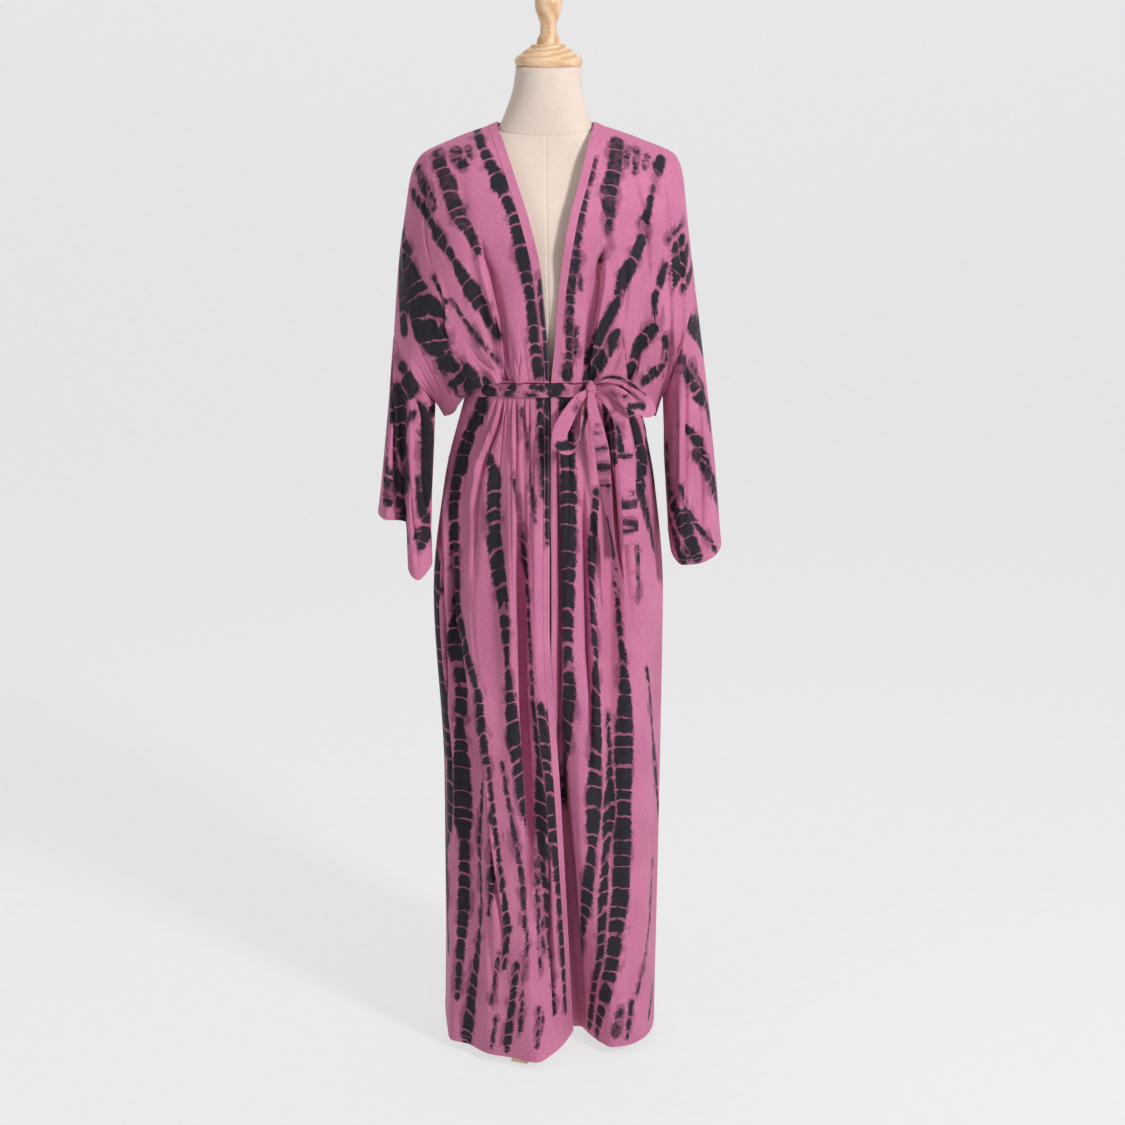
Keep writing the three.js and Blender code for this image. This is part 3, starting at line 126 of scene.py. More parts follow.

# The stripes, noted in the photograph's pixels: panel, strength and spacing of the ties,
# then x, y and half width at each place. fr and fl are the right and the left front, fbr and fbl their
# bands, sr and sl the sleeves. A note runs on where its line ends in a comma.
# The sr note with ties 270 apart lays a broad dark patch over the right sleeve's shaded inner fold: dye
# there, and painted shade too.
STRIPES = """
fr 1 19: 478 131 3.5, 481 145 4, 496 175 5, 500 184 8, 503 195 4, 516 222 4.5, 522 250 6, 529 295 3.8,
    537 368 4.5, 540 378 4
fr 0.9 15: 437 150 3, 440 163 6, 449 187 6.5, 452 203 6.5, 458 213 7, 461 222 5, 468 230 5, 479 252 3
fr 1 18: 413 192 3.5, 424 210 4.5, 434 228 3, 439 235 5.5, 453 258 3, 471 290 7, 481 305 6.5, 486 315 4,
    493 330 5.5, 499 336 3
fr 0.8 30: 452 300 2, 477 338 2.3, 497 361 1.8
fr 1 20: 404 258 6, 409 270 11, 426 315 19, 430 330 17, 436 345 12, 440 352 7
fr 0.9 20: 434 278 2.3, 446 302 2
fr 1 22: 441 342 4, 447 352 6
fr 1 22: 447 362 9, 452 374 12, 462 384 15, 474 388 12, 484 382 8
fr 1 22: 462 365 6, 472 377 6
fr 0.45 14: 455 150 5, 458 158 6, 464 168 4
fr 0.4 14: 467 148 3, 472 158 3
fr 0.5 14: 437 148 3, 441 156 4
fbr 1 22: 541 278 2.5, 550 376 4.5
fbr 1 22: 545 400 5, 548 540 2.5
fr 1 19: 453 600 4.6, 455 640 8, 461 680 5.8, 461 710 5.8, 460 725 4, 461 770 8.6, 463 818 9.8,
    464 840 4.6, 464 905 5.8, 457 1000 2.3
fr 1 20: 437 610 4.2, 440 645 8.4, 446 720 4.2, 449 810 8.4, 449 825 5.6, 448 850 4.2, 447 925 2.8
fr 1 17: 482 402 7, 480 412 8, 472 425 6, 468 440 9, 462 455 6, 461 468 7, 456 480 5, 455 495 6,
    453 510 5, 458 605 4, 469 665 5, 477 695 4.5, 501 875 1.8, 508 925 3.5, 504 970 1.8
fr 1 17: 491 815 3, 491 850 4.5, 489 895 4, 488 912 2
fr 1 17: 483 785 3, 480 840 2, 480 905 2, 478 940 3.5, 470 1020 6, 468 1035 6, 466 1045 4
fr 1 20: 488 452 4, 494 478 6, 494 530 7, 499 572 9, 503 612 7.5, 507 662 2.5, 514 740 7, 518 755 6,
    522 800 4.5, 527 825 3.5, 529 865 2, 528 945 1.8, 520 1035 1.8
fr 0.9 25: 502 765 1.8, 523 885 2.5, 525 925 1.8
fr 1 21: 515 480 2, 524 560 3.5, 528 600 1.8, 534 720 2, 538 765 3, 541 805 7, 544 855 5, 543 870 2.5,
    546 885 3, 549 945 2, 553 985 3.5, 558 1015 3
fr 0.6 30: 522 410 1.8, 526 430 1.8, 535 520 1.8
fr 1 26: 540 400 3, 545 500 2
fr 1 20: 541 702 3, 546 755 4.5, 547 768 3, 550 782 5, 554 820 6.5, 565 1010 3
fr 0.8 20: 551 712 2, 553 750 2.2
fr 0.4 24: 538 865 3, 540 975 2
fr 0.3 24: 543 925 2.5, 543 950 2.5
fr 1 18: 518 962 2.5, 507 1045 4, 506 1052 3
fr 0.8 22: 499 955 2, 491 1005 1.8
fr 0.8 16: 496 1018 1.8, 492 1048 1.8
fr 0.7 16: 538 1008 2, 538 1050 2
fr 0.5 16: 543 1015 1.8, 542 1032 1.8
fl 0.85 15: 588 156 3.5, 574 243 5.5, 573 262 6, 570 285 3.8, 569 350 2.8, 567 375 5
fl 0.8 20: 580 275 1.8, 580 290 2
fl 0.8 20: 576 328 2, 575 352 2.5
fl 0.85 17: 616 143 6, 614 170 6, 607 196 7, 611 215 4, 602 270 3
fl 0.45 16: 636 150 3.5, 635 172 2
fl 0.4 16: 647 155 3, 645 168 3
fl 1 40: 661 157 3.9, 658 170 5.5, 648 208 2.8, 644 222 5, 644 235 5.5, 640 245 4.4, 625 275 6.6,
    618 300 3.9, 599 340 6.6, 588 362 2.8
fl 1 30: 616 333 3.6, 611 345 5.4, 597 365 6, 587 379 4.8
fl 0.9 30: 683 222 2, 668 240 2
fl 1 30: 665 266 3, 662 278 4, 655 296 3, 655 320 2, 652 330 5, 645 337 7, 638 346 5, 634 356 4,
    631 366 5, 630 376 4
fl 1 17: 687 248 4, 684 258 8, 677 268 10, 671 290 5
fl 0.9 17: 692 262 3, 688 278 4, 683 287 4
fl 1 30: 665 338 3, 666 360 2.5
fl 1 30: 662 366 4, 656 371 5, 652 378 3
fl 1 30: 646 380 5, 649 392 5
fl 1 20: 566 395 7, 566 425 6, 569 490 7, 567 572 7.5, 568 650 3.5, 569 690 6, 565 745 7, 564 765 5,
    562 805 4
fl 1 22: 596 488 3, 593 545 4, 592 590 2.5, 596 660 2, 596 700 5, 597 730 5, 594 800 7.5, 593 825 6.5,
    592 845 3.5, 587 895 5.5, 581 960 2.5
fl 1 20: 607 712 1.8, 609 755 2, 609 800 6, 608 825 6, 606 845 3.5, 603 900 4.5, 600 955 3, 591 1020 4,
    588 1028 3
fl 1 19: 617 600 2, 624 675 3.5, 625 710 7, 624 750 9, 624 815 6, 623 830 8, 621 890 8, 611 970 6,
    605 995 6, 598 1032 3
fl 1 24: 648 668 2, 651 720 2, 655 760 4, 658 815 2
fl 0.9 20: 653 860 1.8, 649 920 1.8, 637 993 1.8
fl 1 30: 632 1002 2, 627 1038 2
fl 1 18: 653 985 1.8, 649 1020 2.5
fl 0.5 16: 620 1008 3, 616 1035 5
fl 0.6 20: 638 548 4.2, 640 600 2.8
fl 1 22: 630 405 3.9, 641 450 10.4, 645 462 10.4, 641 478 10.4, 640 490 6.5, 649 517 4.5, 657 560 2.6
fl 0.9 22: 606 400 3, 610 420 4, 613 460 4
sr 1 20: 402 345 5, 404 352 5
sr 1 24: 417 362 6, 418 374 7
sr 1 30: 410 380 7, 407 388 9, 403 396 6
sr 1 30: 401 403 5, 397 418 2
sr 0.8 16: 414 413 2.5, 408 423 3
sr 0.5 16: 403 435 2, 401 446 2
sr 0.7 16: 407 448 2.5, 402 458 2.5
sr 1 24: 393 340 2, 395 430 2, 400 505 4
sr 0.8 24: 388 410 2, 389 500 4
sr 1 16: 406 514 6, 411 521 8, 409 529 4
sr 1 16: 402 528 3, 404 538 5, 406 548 3
sr 1 16: 420 530 3, 416 539 2.5
sr 1 24: 431 412 5, 424 424 5, 420 432 3
sl 1 22: 684 302 5, 688 312 5, 692 325 8, 703 352 4
sl 1 24: 684 358 2, 686 372 3, 691 382 3, 698 394 6, 708 411 3.5, 711 422 2.5
sl 0.6 20: 675 357 3, 680 368 2
sl 0.6 24: 690 363 2, 703 388 2
sl 1 17: 688 426 2.5, 697 440 4.5, 702 450 2, 706 457 3, 709 467 2, 713 476 4, 719 498 2
sl 1 20: 700 463 2.5, 701 468 2
sl 1 15: 667 447 4, 669 492 6, 683 520 7.5, 688 534 5, 697 555 5
sl 1 30: 681 488 1.8, 690 515 2, 716 550 2.5
sl 1 30: 674 537 1.8, 685 560 4
fr 1 20: 398 250 4, 403 302 9, 404 316 9, 404 330 6
sr 1 20: 396 335 4, 399 345 6, 403 368 5
sr 1 270: 420 408 5, 424 425 11, 427 445 13, 424 485 12, 424 512 5
sr 1 22: 399 391 6, 402 405 8, 404 420 8, 404 452 5
sr 0.55 18: 386 440 5, 387 500 6
sr 1 24: 392 345 3, 391 370 4, 391 420 3
sr 1 20: 428 516 5, 427 530 6, 422 545 4
sl 1 20: 686 372 4, 709 415 5, 715 430 3
sl 0.8 20: 672 330 3, 680 358 4
sl 1 22: 697 318 7, 700 330 8, 702 342 6
sl 0.9 20: 696 452 4, 710 474 5, 721 505 3
sl 0.9 22: 669 520 3, 676 534 4, 690 558 3
fr 0.6 18: 418 170 4, 430 194 5, 434 208 4
fr 1 20: 402 232 4, 405 243 5, 409 252 4
fl 0.5 16: 628 146 4, 625 166 3
fl 1 24: 683 236 4, 677 246 5, 670 256 4
fl 1 24: 655 372 6, 660 383 6, 667 376 5, 668 362 4
fr 1 22: 434 560 7.8, 434 590 13, 435 620 15.6, 438 700 15.6, 440 740 13
fr 1 24: 436 760 4, 437 850 8, 440 950 6
fl 1 22: 622 420 3, 628 455 6, 630 470 4
fl 0.9 20: 648 430 4, 651 445 6, 657 480 4
fl 0.8 22: 640 498 3, 645 515 4, 655 550 3
"""

# Dye on the straps, in their own millimetres: piece and strength, then length along, place across and
# half width
STRAP_DYE = """
belt 1: 282 7 5, 300 6 7
belt 1: 290 -7 4, 298 -6 4
belt 1: 328 7 5, 342 4 6
belt 0.9: 322 -7 3, 332 -7 3
belt 1: 351 8 6, 366 6 7
belt 1: 354 -7 5, 364 -6 5
belt 1: 398 6 4, 408 5 5
belt 1: 256 -2 9, 268 -3 8
knot 0.9: 30 2 2, 36 -3 3
tail_front 0.7: 48 1 2, 51 2 2
tail_front 0.8: 59 -2 2.5, 61 3 2.5
tail_front 0.9: 84 -7 1.8, 84 7 1.5
tail_front 1: 113 -7 5, 113 7 5.5
tail_front 0.9: 135 -8 2.5, 136 8 2.2
tail_front 1: 186 -8 3, 214 -5 5, 240 -3 6
tail_front 1: 262 0 3, 264 1 3
tail_front 1: 284 -5 1.6, 288 -3 2
tail_front 1: 291 4 1.6, 298 2 1.8
tail_front 1: 300 -4 1.8, 303 -1 2
tail_back 1: 38 -7 4, 70 -7 5, 98 -6 5
tail_back 1: 108 -9 3.5, 108 10 3
tail_back 0.9: 176 -8 6, 178 9 6.5
tail_back 0.8: 204 -8 5, 206 9 5.5
tail_back 1: 219 -11 2.2, 219 11 2.2
tail_back 1: 156 3 2, 163 6 2
loop_low 0.8: 18 3 4, 32 4 4
loop_low 1: 92 -2 7, 118 0 8
loop_low 0.9: 130 0 6, 172 0 5
loop_high 1: 28 5 4, 48 -3 5
loop_high 1: 62 6 5, 78 -2 6
loop_high 1: 122 3 6, 146 -3 6
loop_high 0.9: 166 0 5, 190 0 4
neck 1: 20 6 5, 32 8 6
neck 1: 84 5 7, 96 7 6
neck 1: 140 6 4, 152 8 6
"""

# The creases, noted in pixels too: x, y, then depth and reach to the left and right in millimetres
CREASES = """
fr: 503 403 6.2 3 5, 498 420 14.6 2.5 8, 490 440 16.6 2.5 9, 482 460 18.7 2.5 10, 476 485 18.7 2.5 13,
    473 510 16.6 3 16, 472 545 10.4 5 18, 472 590 0 8 18
fr: 515 403 6.5 2.5 5, 516 440 13 2.5 8, 518 480 19.4 4 9, 520 520 23.8 6 8, 522 580 25.9 10 6,
    524 640 28.1 12 4, 526 700 28.1 12 3.5, 529 760 23.8 11 4, 532 820 19.4 9 4, 533 880 13 8 5,
    531 930 6.5 8 6, 529 970 0 8 8
fl: 553 450 9.3 3 5, 554 520 20.9 3 7, 555 580 27.8 4 8, 556 650 30.2 4 8, 557 720 30.2 4 9,
    560 790 30.2 5 11, 566 860 27.8 6 13, 571 920 25.5 7 13, 576 975 20.9 8 12, 580 1012 13.9 8 12
fl: 583 470 0 8 6, 586 530 15.1 9 6, 588 590 23.8 10 6, 590 650 25.9 10 5, 593 700 19.4 9 5,
    592 750 8.6 8 6, 590 790 0 8 8
fl: 603 402 12.5 3 3, 607 430 18.7 4 4, 611 470 22.9 5 4, 615 510 25 5 4, 618 545 20.8 5 4,
    621 575 8.3 5 5, 623 600 0 6 6
fl: 627 540 12.5 6 5, 629 570 10.4 7 6, 633 620 6.2 9 8, 637 670 0 10 10
fl: 626 402 9 3 3, 634 430 15.7 4 4, 643 465 17.9 5 4, 651 500 15.7 5 5, 656 545 9 6 6, 658 600 0 6 6
fl: 634 820 0 12 12, 635 880 4 14 12, 632 940 5 14 12, 628 1000 3 12 12
fr: 446 455 12.5 4 2.5, 445 500 18.7 4 2.5, 445 560 20.8 5 2.5, 446 620 20.8 5 2.5, 447 680 14.6 5 3,
    448 740 6.2 5 4, 448 790 0 5 5
fr: 452 545 4.3 3 2.5, 454 585 10.8 5 2.5, 458 620 17.3 8 2.5, 465 655 19.4 11 2.5, 472 690 19.4 13 2.5,
    479 730 21.6 15 2.5, 484 770 21.6 15 2.5, 489 820 19.4 13 2.5, 494 870 15.1 11 3, 500 912 8.6 9 3,
    503 945 0 8 4
fr: 486 850 0 8 8, 487 900 4 9 9, 488 940 6 10 11, 491 985 4 10 11, 492 1020 0 10 10
fr: 548 830 0 3 3, 549 880 10.4 4 3, 550 930 14.6 4 3, 553 975 14.6 5 3, 557 1015 8.3 5 4, 560 1032 0 5 5
fr: 507 402 3 2.2 2.2, 508 425 3 2.5 2.5, 508 455 0 3 3
fr: 496 402 3 2.5 2.5, 488 425 2.5 3 3, 480 450 0 3 3
fr: 524 402 3 2.5 2.5, 525 440 3 4 4, 527 490 0 5 5
fr: 483 402 4 3 3, 472 425 4 4 4, 463 450 0 5 5
fr: 470 402 4 3 3, 458 425 4 4 4, 452 450 0 5 5
fl: 592 402 4 3 3, 597 430 4 4 4, 600 470 0 5 5
fl: 616 402 4 2.5 2.5, 622 430 5 3 3, 628 470 4 4 4, 633 515 0 5 5
fl: 636 402 4 3 3, 645 430 5 3 3, 653 465 3 4 4, 658 500 0 4 4
fl: 566 402 3 3 3, 568 440 3 5 5, 569 490 0 6 6
fr: 462 650 0 4 4, 466 680 3 4 4, 471 712 0 3 3
fr: 474 690 0 3 3, 470 716 3 3 3, 466 740 0 3 3
fr: 480 735 0 3 3, 474 752 2.5 3 3, 466 762 0 3 3
fr: 480 238 0 2.5 5, 484 257 11.2 2.5 6, 489 275 16 2.5 8, 495 296 19.2 2.5 9, 500 318 19.2 2.5 9,
    503 340 17.6 2.5 8, 507 360 14.4 2.5 6, 511 376 9.6 2.5 4
fl: 604 245 0 5 2.5, 602 262 11.2 8 2.5, 599 285 17.6 12 2.5, 596 305 19.2 11 2.5, 593 325 17.6 9 2.5,
    590 345 16 7 2.5, 587 362 12.8 5 2.5, 585 376 8 4 2.5
fl: 620 322 0 5 5, 624 345 7 5 4, 627 362 8.4 5 4, 630 378 7 4 4
fl: 632 170 0 5 3, 640 195 4.2 7 2.5, 646 215 5.6 7 2.5, 648 240 7 7 2.5, 650 262 5.6 6 2.5,
    650 284 0 5 3
fl: 660 175 0 3 5, 666 200 9 2.5 8, 669 240 15 2.5 10, 671 280 16.5 2.5 9, 672 320 16.5 2.5 9,
    673 360 15 2.5 8, 674 392 9 2.5 6
fr: 417 165 0 4 2.5, 411 190 6.5 5 2.5, 406 220 7.8 5 2.5, 403 250 6.5 5 2.5, 400 280 3.9 5 2.5,
    397 305 0 5 3
fr: 437 280 0 5 2.5, 445 305 5.2 6 2.5, 444 330 6.5 7 2.5, 441 355 6.5 6 2.5, 438 380 3.9 5 2.5
fr: 512 348 0 2.5 2.5, 513 364 4 2.5 2.2, 514 378 4 2.5 2.2
fr: 521 345 0 2.5 2.5, 520 362 4 2.5 2.5, 518 378 4 2.2 2.2
fr: 466 345 0 5 5, 482 362 4 4 4, 498 377 5 3 3
fr: 478 352 0 4 4, 490 366 4 3 3, 503 378 4 3 3
fl: 651 285 0 4 3, 654 310 4 5 2.5, 656 335 5 5 3, 661 355 6 5 3, 664 375 5 4 4
fl: 612 350 0 4 4, 606 364 4 4 4, 599 376 4 3 3
fl: 640 350 0 5 5, 638 366 4 5 4, 636 380 4 4 4
fl: 575 352 0 3 3, 576 368 3 3 3, 577 380 3 3 3
fl: 622 250 0 7 5, 627 280 4 8 5, 626 305 4 7 5, 622 330 0 6 5
fr: 455 150 0 8 8, 462 200 3 10 10, 470 250 3 10 8, 476 290 0 8 8
fl: 600 140 0 6 6, 604 180 3 8 8, 606 225 3 8 8, 606 245 0 6 6
fr: 427 170 0 5 4, 424 205 4 6 3, 426 240 3 6 4, 432 270 0 5 4
sr: 394 325 0 3 2.5, 394 350 6 3 2.5, 394 390 9.6 3.5 2.5, 395 430 10.8 4 2.5, 396 470 10.8 4 2.5,
    397 505 8.4 4 2.5
sr: 405 440 0 8 5, 410 480 5 9 5, 414 520 6 8 5, 417 560 3 8 6
sr: 385 350 0 4 4, 386 420 3 5 5, 386 500 4 5 5
sl: 674 395 7.8 3 8, 676 430 9.1 4 8, 675 470 7.8 5 8, 672 510 5.2 5 7, 670 540 0 6 7
sl: 686 330 0 5 5, 688 380 5 6 5, 688 430 7 7 5, 687 480 6 7 6, 684 525 3 7 7
sl: 700 380 0 6 5, 702 430 4 8 6, 702 490 5 8 6, 701 545 3 8 7
sl: 664 420 0 3 3, 664 455 4 3 3, 663 500 4 4 3, 662 530 2 4 4
sl: 680 300 0 4 6, 690 320 3 5 5, 702 350 0 6 5
sl: 712 400 0 5 4, 713 450 3 6 5, 712 520 3 6 5
sr: 417 392 5 2.5 9, 420 420 16 2.5 14, 420 450 22 2.5 16, 419 475 22 2.5 15, 424 500 15 2.5 12,
    431 522 6 3 8
sr: 405 345 0 6 5, 411 372 4 6 5, 416 395 6 6 4
fr: 478 262 0 8 2.5, 486 288 -8 9 2.5, 492 312 -13 10 2.5, 496 336 -14 9 2.5, 500 358 -12 8 2.5,
    504 376 -7 5 2.5
fl: 607 258 0 2.5 8, 605 285 -8 2.5 9, 601 312 -13 2.5 10, 598 336 -13 2.5 9, 594 358 -10 2.5 7,
    590 376 -6 2.5 5
fl: 680 200 0 3 6, 681 240 -6 3 8, 682 290 -8 3 8, 682 340 -8 3 8
fr: 437 300 0 8 3, 438 325 -4 8 3, 435 350 -5 8 3, 432 375 -3 7 3
fl: 657 300 0 3 7, 661 325 -4 3 8, 664 350 -4 3 8
"""
# The deepest crease, and how far it runs out past its ends
CREASE_LIMIT, CREASE_TAIL = 36, 14
# A crease whose side reaches less than this has a crisp side, with a raised lip beyond it
CRISP_REACH, CRISP_FADE, LIP_PLACE, LIP_REACH, LIP_SHARE = 3.6, 1.5, 5, 7, 0.5
# Least gap from the cloth's middle to the form
FORM_GAP, FORM_LEAST = 2.2, 0.2
# Small gathers: their spacing, then ranges of each one's length, depth, width, lean and place after the last
GATHER_SPACING, GATHER_TOP = 17, 0.7
GATHER = dict(length=(0.35, 1), depth=(1.2, 4.2), width=(2.6, 5), lean=(-0.12, 0.12), apart=(0.6, 1.6))
# Seed of a panel's gathers, and how far they reach above and below the belt
GATHERS = dict(right=(11, 130, 620), left=(14, 130, 620), back=(5, 190, 260))
# How firmly the cloth is held: shares of the chest and the skirt over which it comes free
SHOULDER_HOLD, ROLL_FROM, ROLL_HOLD, BELT_HOLD = 0.03, 0.9, 0.55, 0.014
TURN_EASE, TURN_FADE = 0.4, 1.5

# Ties on a stripe: lean, bow and clip, then share, waves and shift of each unevenness in their spacing
TIE_LEAN, TIE_BOW, TIE_CLIP, NO_TIES = 0.16, 0.12, 1.6, 400
TIE_WAVES = ((0.22, 1.9, 2.3), (0.12, 4.7, 1))
# Steps from a stripe to the next: of its ties' lean, their place and its seed
LEAN_STEP, PLACE_STEP, SEED_STEP = 2.1, 0.37, 1.7
# Distance from dye where there is none
FAR = 60.0
# Ranges for stripes and folds on sides that the photograph hides
NEW_STRIPE = dict(
    first=(8, 24), late=0.16, early=0.2, step=90, wander=13, width=(0.45, 1.25), uneven=(0.6, 1.35),
    ends=(0.6, 0.5), strength=(0.8, 1), ties=(20, 30), apart=(24, 66),
)
NEW_FOLD = dict(
    first=(0.2, 0.8), early=0.5, points=7, wander=9, depth=(0.5, 1.2), uneven=(0.7, 1.1), top=0.7,
    reach=(7, 16), apart=(0.7, 1.5),
)


def table(columns, text):
    """Named columns of numbers, a row to each line of text."""
    rows = np.array([[float(v) for v in line.split()] for line in text.strip().splitlines()])
    return dict(zip(columns.split(), rows.T))


DRAPE = table("z right left front back", """
    1424 66 57 26 44
    1420 74 65 34 54
    1398 134 128 58 72
    1372 185 184 78 84
    1345 199 194 95 94
    1294 208 200 119 104
    1236 217 207 139 110
    1177 223 215 144 110
    1115 228 224 138 106
    1060 233 231 119 102
    980 241 240 112 98
""")
FRONT_EDGE = table("z right left", """
    1420 -74 65
    1391 -62 56
    1342 -44 43
    1292 -27 29
    1225 -11 18
    1170 -6 12.5
    1119 -1.5 9
    1082 1 5.5
    1061 1.3 3.3
""")
ROLL_FRONT = table("u z out", """
    0 1061 0.2
    0.17 1061 0.3
    0.3 1060 0.45
    0.5 1055 0.75
    0.62 1044 0.95
    0.75 1023 1
    0.88 1002 1
    1 990 1
""")
ROLL_BACK = table("u z out", """
    0 1044 1
    0.3 1042 1
    0.6 1030 1
    0.82 1008 1
    1 990 1
""")
CHEST_FOLDS = table("footX headX headZ depth width", """
    -59 -93 1262 15 17
    -40 -52 1160 -7 12
    -84 -150 1200 7 16
    56 82 1262 16 17
    36 50 1170 -7 12
    84 140 1190 8 16
    112 176 1300 9 14
""")
BACK_FOLDS = table("footX headX headZ depth width", """
    -70 -120 1250 9 18
    -26 -34 1190 8 15
    24 30 1210 8 15
    70 122 1240 9 18
""")
SKIRT_RIGHT = table("u angle hipX hipY kneeX kneeY hemX hemY", """
    0 0.5 1 -131 17 -119 36 -44
    0.08 -7 -20 -136 -4 -130 24 -84
    0.17 -14 -38 -122 -25 -116 6 -122
    0.28 -21 -54 -139 -48 -133 -20 -153
    0.4 -29 -80 -114 -72 -126 -58 -136
    0.54 -40 -116 -104 -90 -121 -92 -124
    0.68 -55 -132 -66 -104 -84 -126 -90
    0.84 -72 -166 -42 -148 -62 -155 -72
    1 -90 -175 0 -162 -4 -163 -14
""")
SKIRT_LEFT = table("u angle hipX hipY kneeX kneeY hemX hemY", """
    0 1.5 4 -130 -4 -103 12 -26
    0.1 9 24 -135 24 -107 46 -28
    0.22 17 46 -133 48 -124 64 -58
    0.34 26 68 -127 70 -119 80 -84
    0.48 39 91 -98 92 -104 98 -101
    0.6 48 112 -109 114 -108 124 -92
    0.76 62 144 -72 146 -74 148 -66
    0.9 77 161 -32 160 -30 161 -30
    1 90 172 0 170 0 165 0
""")
SKIRT_BACK = table("u angle hipX hipY kneeX kneeY hemX hemY", """
    -1 -90 -175 0 -162 -4 -163 -14
    -0.86 -106 -164 48 -160 44 -168 42
    -0.7 -122 -138 82 -136 70 -134 64
    -0.54 -137 -114 114 -118 114 -120 120
    -0.38 -150 -80 116 -80 103 -80 117
    -0.2 -164 -48 134 -48 134 -48 142
    -0.03 -178 -8 126 -8 114 -8 110
    0.15 -193 32 137 32 137 34 146
    0.32 -206 64 122 66 110 66 104
    0.5 -220 100 118 102 120 104 128
    0.68 -237 130 86 130 75 132 70
    0.85 -254 162 50 162 48 166 48
    1 -270 172 0 170 0 165 0
""")
SLEEVE_RIGHT = table("turn midX midY midZ cuffX cuffY cuffZ", """
    0 -246 2 935 -257 4 842
    0.1 -236 -40 930 -241 -44 841
    0.19 -216 -30 922 -214 -26 833
    0.27 -204 -58 918 -208 -62 768
    0.36 -190 -44 905 -193 -76 757
    0.43 -176 -26 900 -174 -60 778
    0.52 -174 -2 905 -184 -6 784
    0.66 -186 42 915 -196 40 804
    0.84 -222 48 930 -236 44 834
""")
SLEEVE_LEFT = table("turn midX midY midZ cuffX cuffY cuffZ", """
    0 243 2 960 259 2 795
    0.12 232 -42 950 247 -46 787
    0.24 210 -48 940 221 -60 778
    0.36 191 -64 935 198 -58 776
    0.44 178 -32 925 183 -30 790
    0.52 173 4 925 180 8 812
    0.68 186 46 935 196 54 808
    0.86 226 44 950 240 44 799
""")
LOOP_LOW = table("x y z wide acrossX acrossY acrossZ", """
    54.2 -110.8 1046 8 0.4 -0.2 -0.9
    41 -121 1035 15 0.75 0 -0.6
    26 -133 1012 21 0.85 0 -0.5
    16 -142 990 22 1 0 -0.1
    21 -145 973 22 0.8 0.5 0.3
    34 -141 970 21 0.4 0.85 0.3
    46 -133 982 20 0.3 0.9 0
    50 -125 1003 18 0.4 0.8 0
    57.4 -109.1 1039 8 1 0.1 0
""")
LOOP_HIGH = table("x y z wide acrossX acrossY acrossZ", """
    69.4 -107.2 1051 7 0 -0.2 -1
    84 -118 1054 14 0.35 -0.2 -0.9
    99 -126 1047 18 0.6 -0.15 -0.8
    119 -127 1033 21 0.65 -0.1 -0.75
    138 -120 1022 22 0.7 0.2 -0.7
    147 -111 1024 22 0.7 0.5 -0.5
    141 -107 1037 21 0.6 0.6 -0.5
    124 -113 1054 20 0.4 0.7 -0.6
    103 -118 1068 18 0.2 0.8 -0.6
    85 -116 1070 14 0 0.8 -0.6
    67.6 -107.5 1057.6 7 -0.3 0.8 -0.4
""")
TAIL_FRONT = table("x y z wide acrossX acrossY acrossZ", """
    60.5 -114.3 1047 9 1 0 0
    64 -126 1020 16 1 0.1 0.1
    76 -136 968 21 0.95 -0.2 0.15
    82 -139 915 22 0.75 -0.6 0.15
    88 -141 867 22 0.4 -0.9 0.1
    95 -141 816 22 0.3 -0.95 0.1
    100 -140 771 22 0.75 -0.6 0.1
    101 -139 750 22 0.8 -0.55 0.1
""")
TAIL_BACK = table("x y z wide acrossX acrossY acrossZ", """
    67.5 -105.5 1041.4 8 0.35 0 0.9
    84 -115 1034 14 0.6 0.2 0.75
    98 -119 1019 20 0.85 0.3 0.4
    106 -121 995 23 0.95 0.3 0.15
    110 -124 959 24 0.95 0.25 0.1
    114 -127 912 24 0.95 0.25 0.03
    118 -129 868 24 0.95 0.25 0.02
    119 -130 824 24 0.95 0.25 0.02
""")
FORM = table("z centre half front back", """
    700 0 150 92 96
    770 0 155 100 103
    840 0 150 100 103
    900 0 138 95 95
    960 0 124 90 84
    1015 0 114 88 78
    1050 0 112 88 77
    1100 0 121 96 80
    1150 0 135 110 86
    1205 -1 146 121 90
    1255 -2 153 112 92
    1305 -3 161 94 88
    1340 -4 166 76 78
    1366 -4 160 60 66
    1382 -4 138 52 58
    1395 -4 104 47 52
    1407 -4 75.5 45 49
    1420 -4 64.5 45 48
    1434 -3 59.5 45 47
    1450 -2 54.5 46 47
    1470 -1 49.5 46.5 47
    1499 0 46.5 46.5 46.5
""")

# Sizes shared with the frame, in millimetres and degrees
WAIST = dict(right=124, left=132, front=104, back=92)
BLOUSE = dict(right=156, left=159, front=117, back=104)
BELT_HEIGHT, BELT_FRONT_Z, BELT_SIDE_Z = 21, 1047.5, 1032
BELT_LIP, BELT_STAND = 2, 6
DRAPE_POWER, FORM_POWER = 2.3, 2.2
ARMHOLE_TOP = dict(right=1115, left=1180)
ARMHOLE_END = 0.83
SEAM_ROWS = [0, 0.03, 0.08, 0.15, 0.24, 0.34, 0.44, 0.54, 0.64, 0.74, ARMHOLE_END]
HIGH_HIP_Z, HIP_Z, HIGH_HIP, KNEE_Z, HEM_Z = 895, 715, 0.62, 430, 14
PANEL_WIDTH = dict(right=382, left=326, back=354)
BAND_WIDTH = 13
SKIRT = dict(right=SKIRT_RIGHT, left=SKIRT_LEFT, back=SKIRT_BACK)
SLEEVE = dict(right=SLEEVE_RIGHT, left=SLEEVE_LEFT)
SIGN = dict(right=-1, left=1)
# A fold widens from its foot to its head, where it has faded out
FOLD_FOOT, FOLD_HEAD, FOLD_FADE = 0.55, 1.3, 0.7
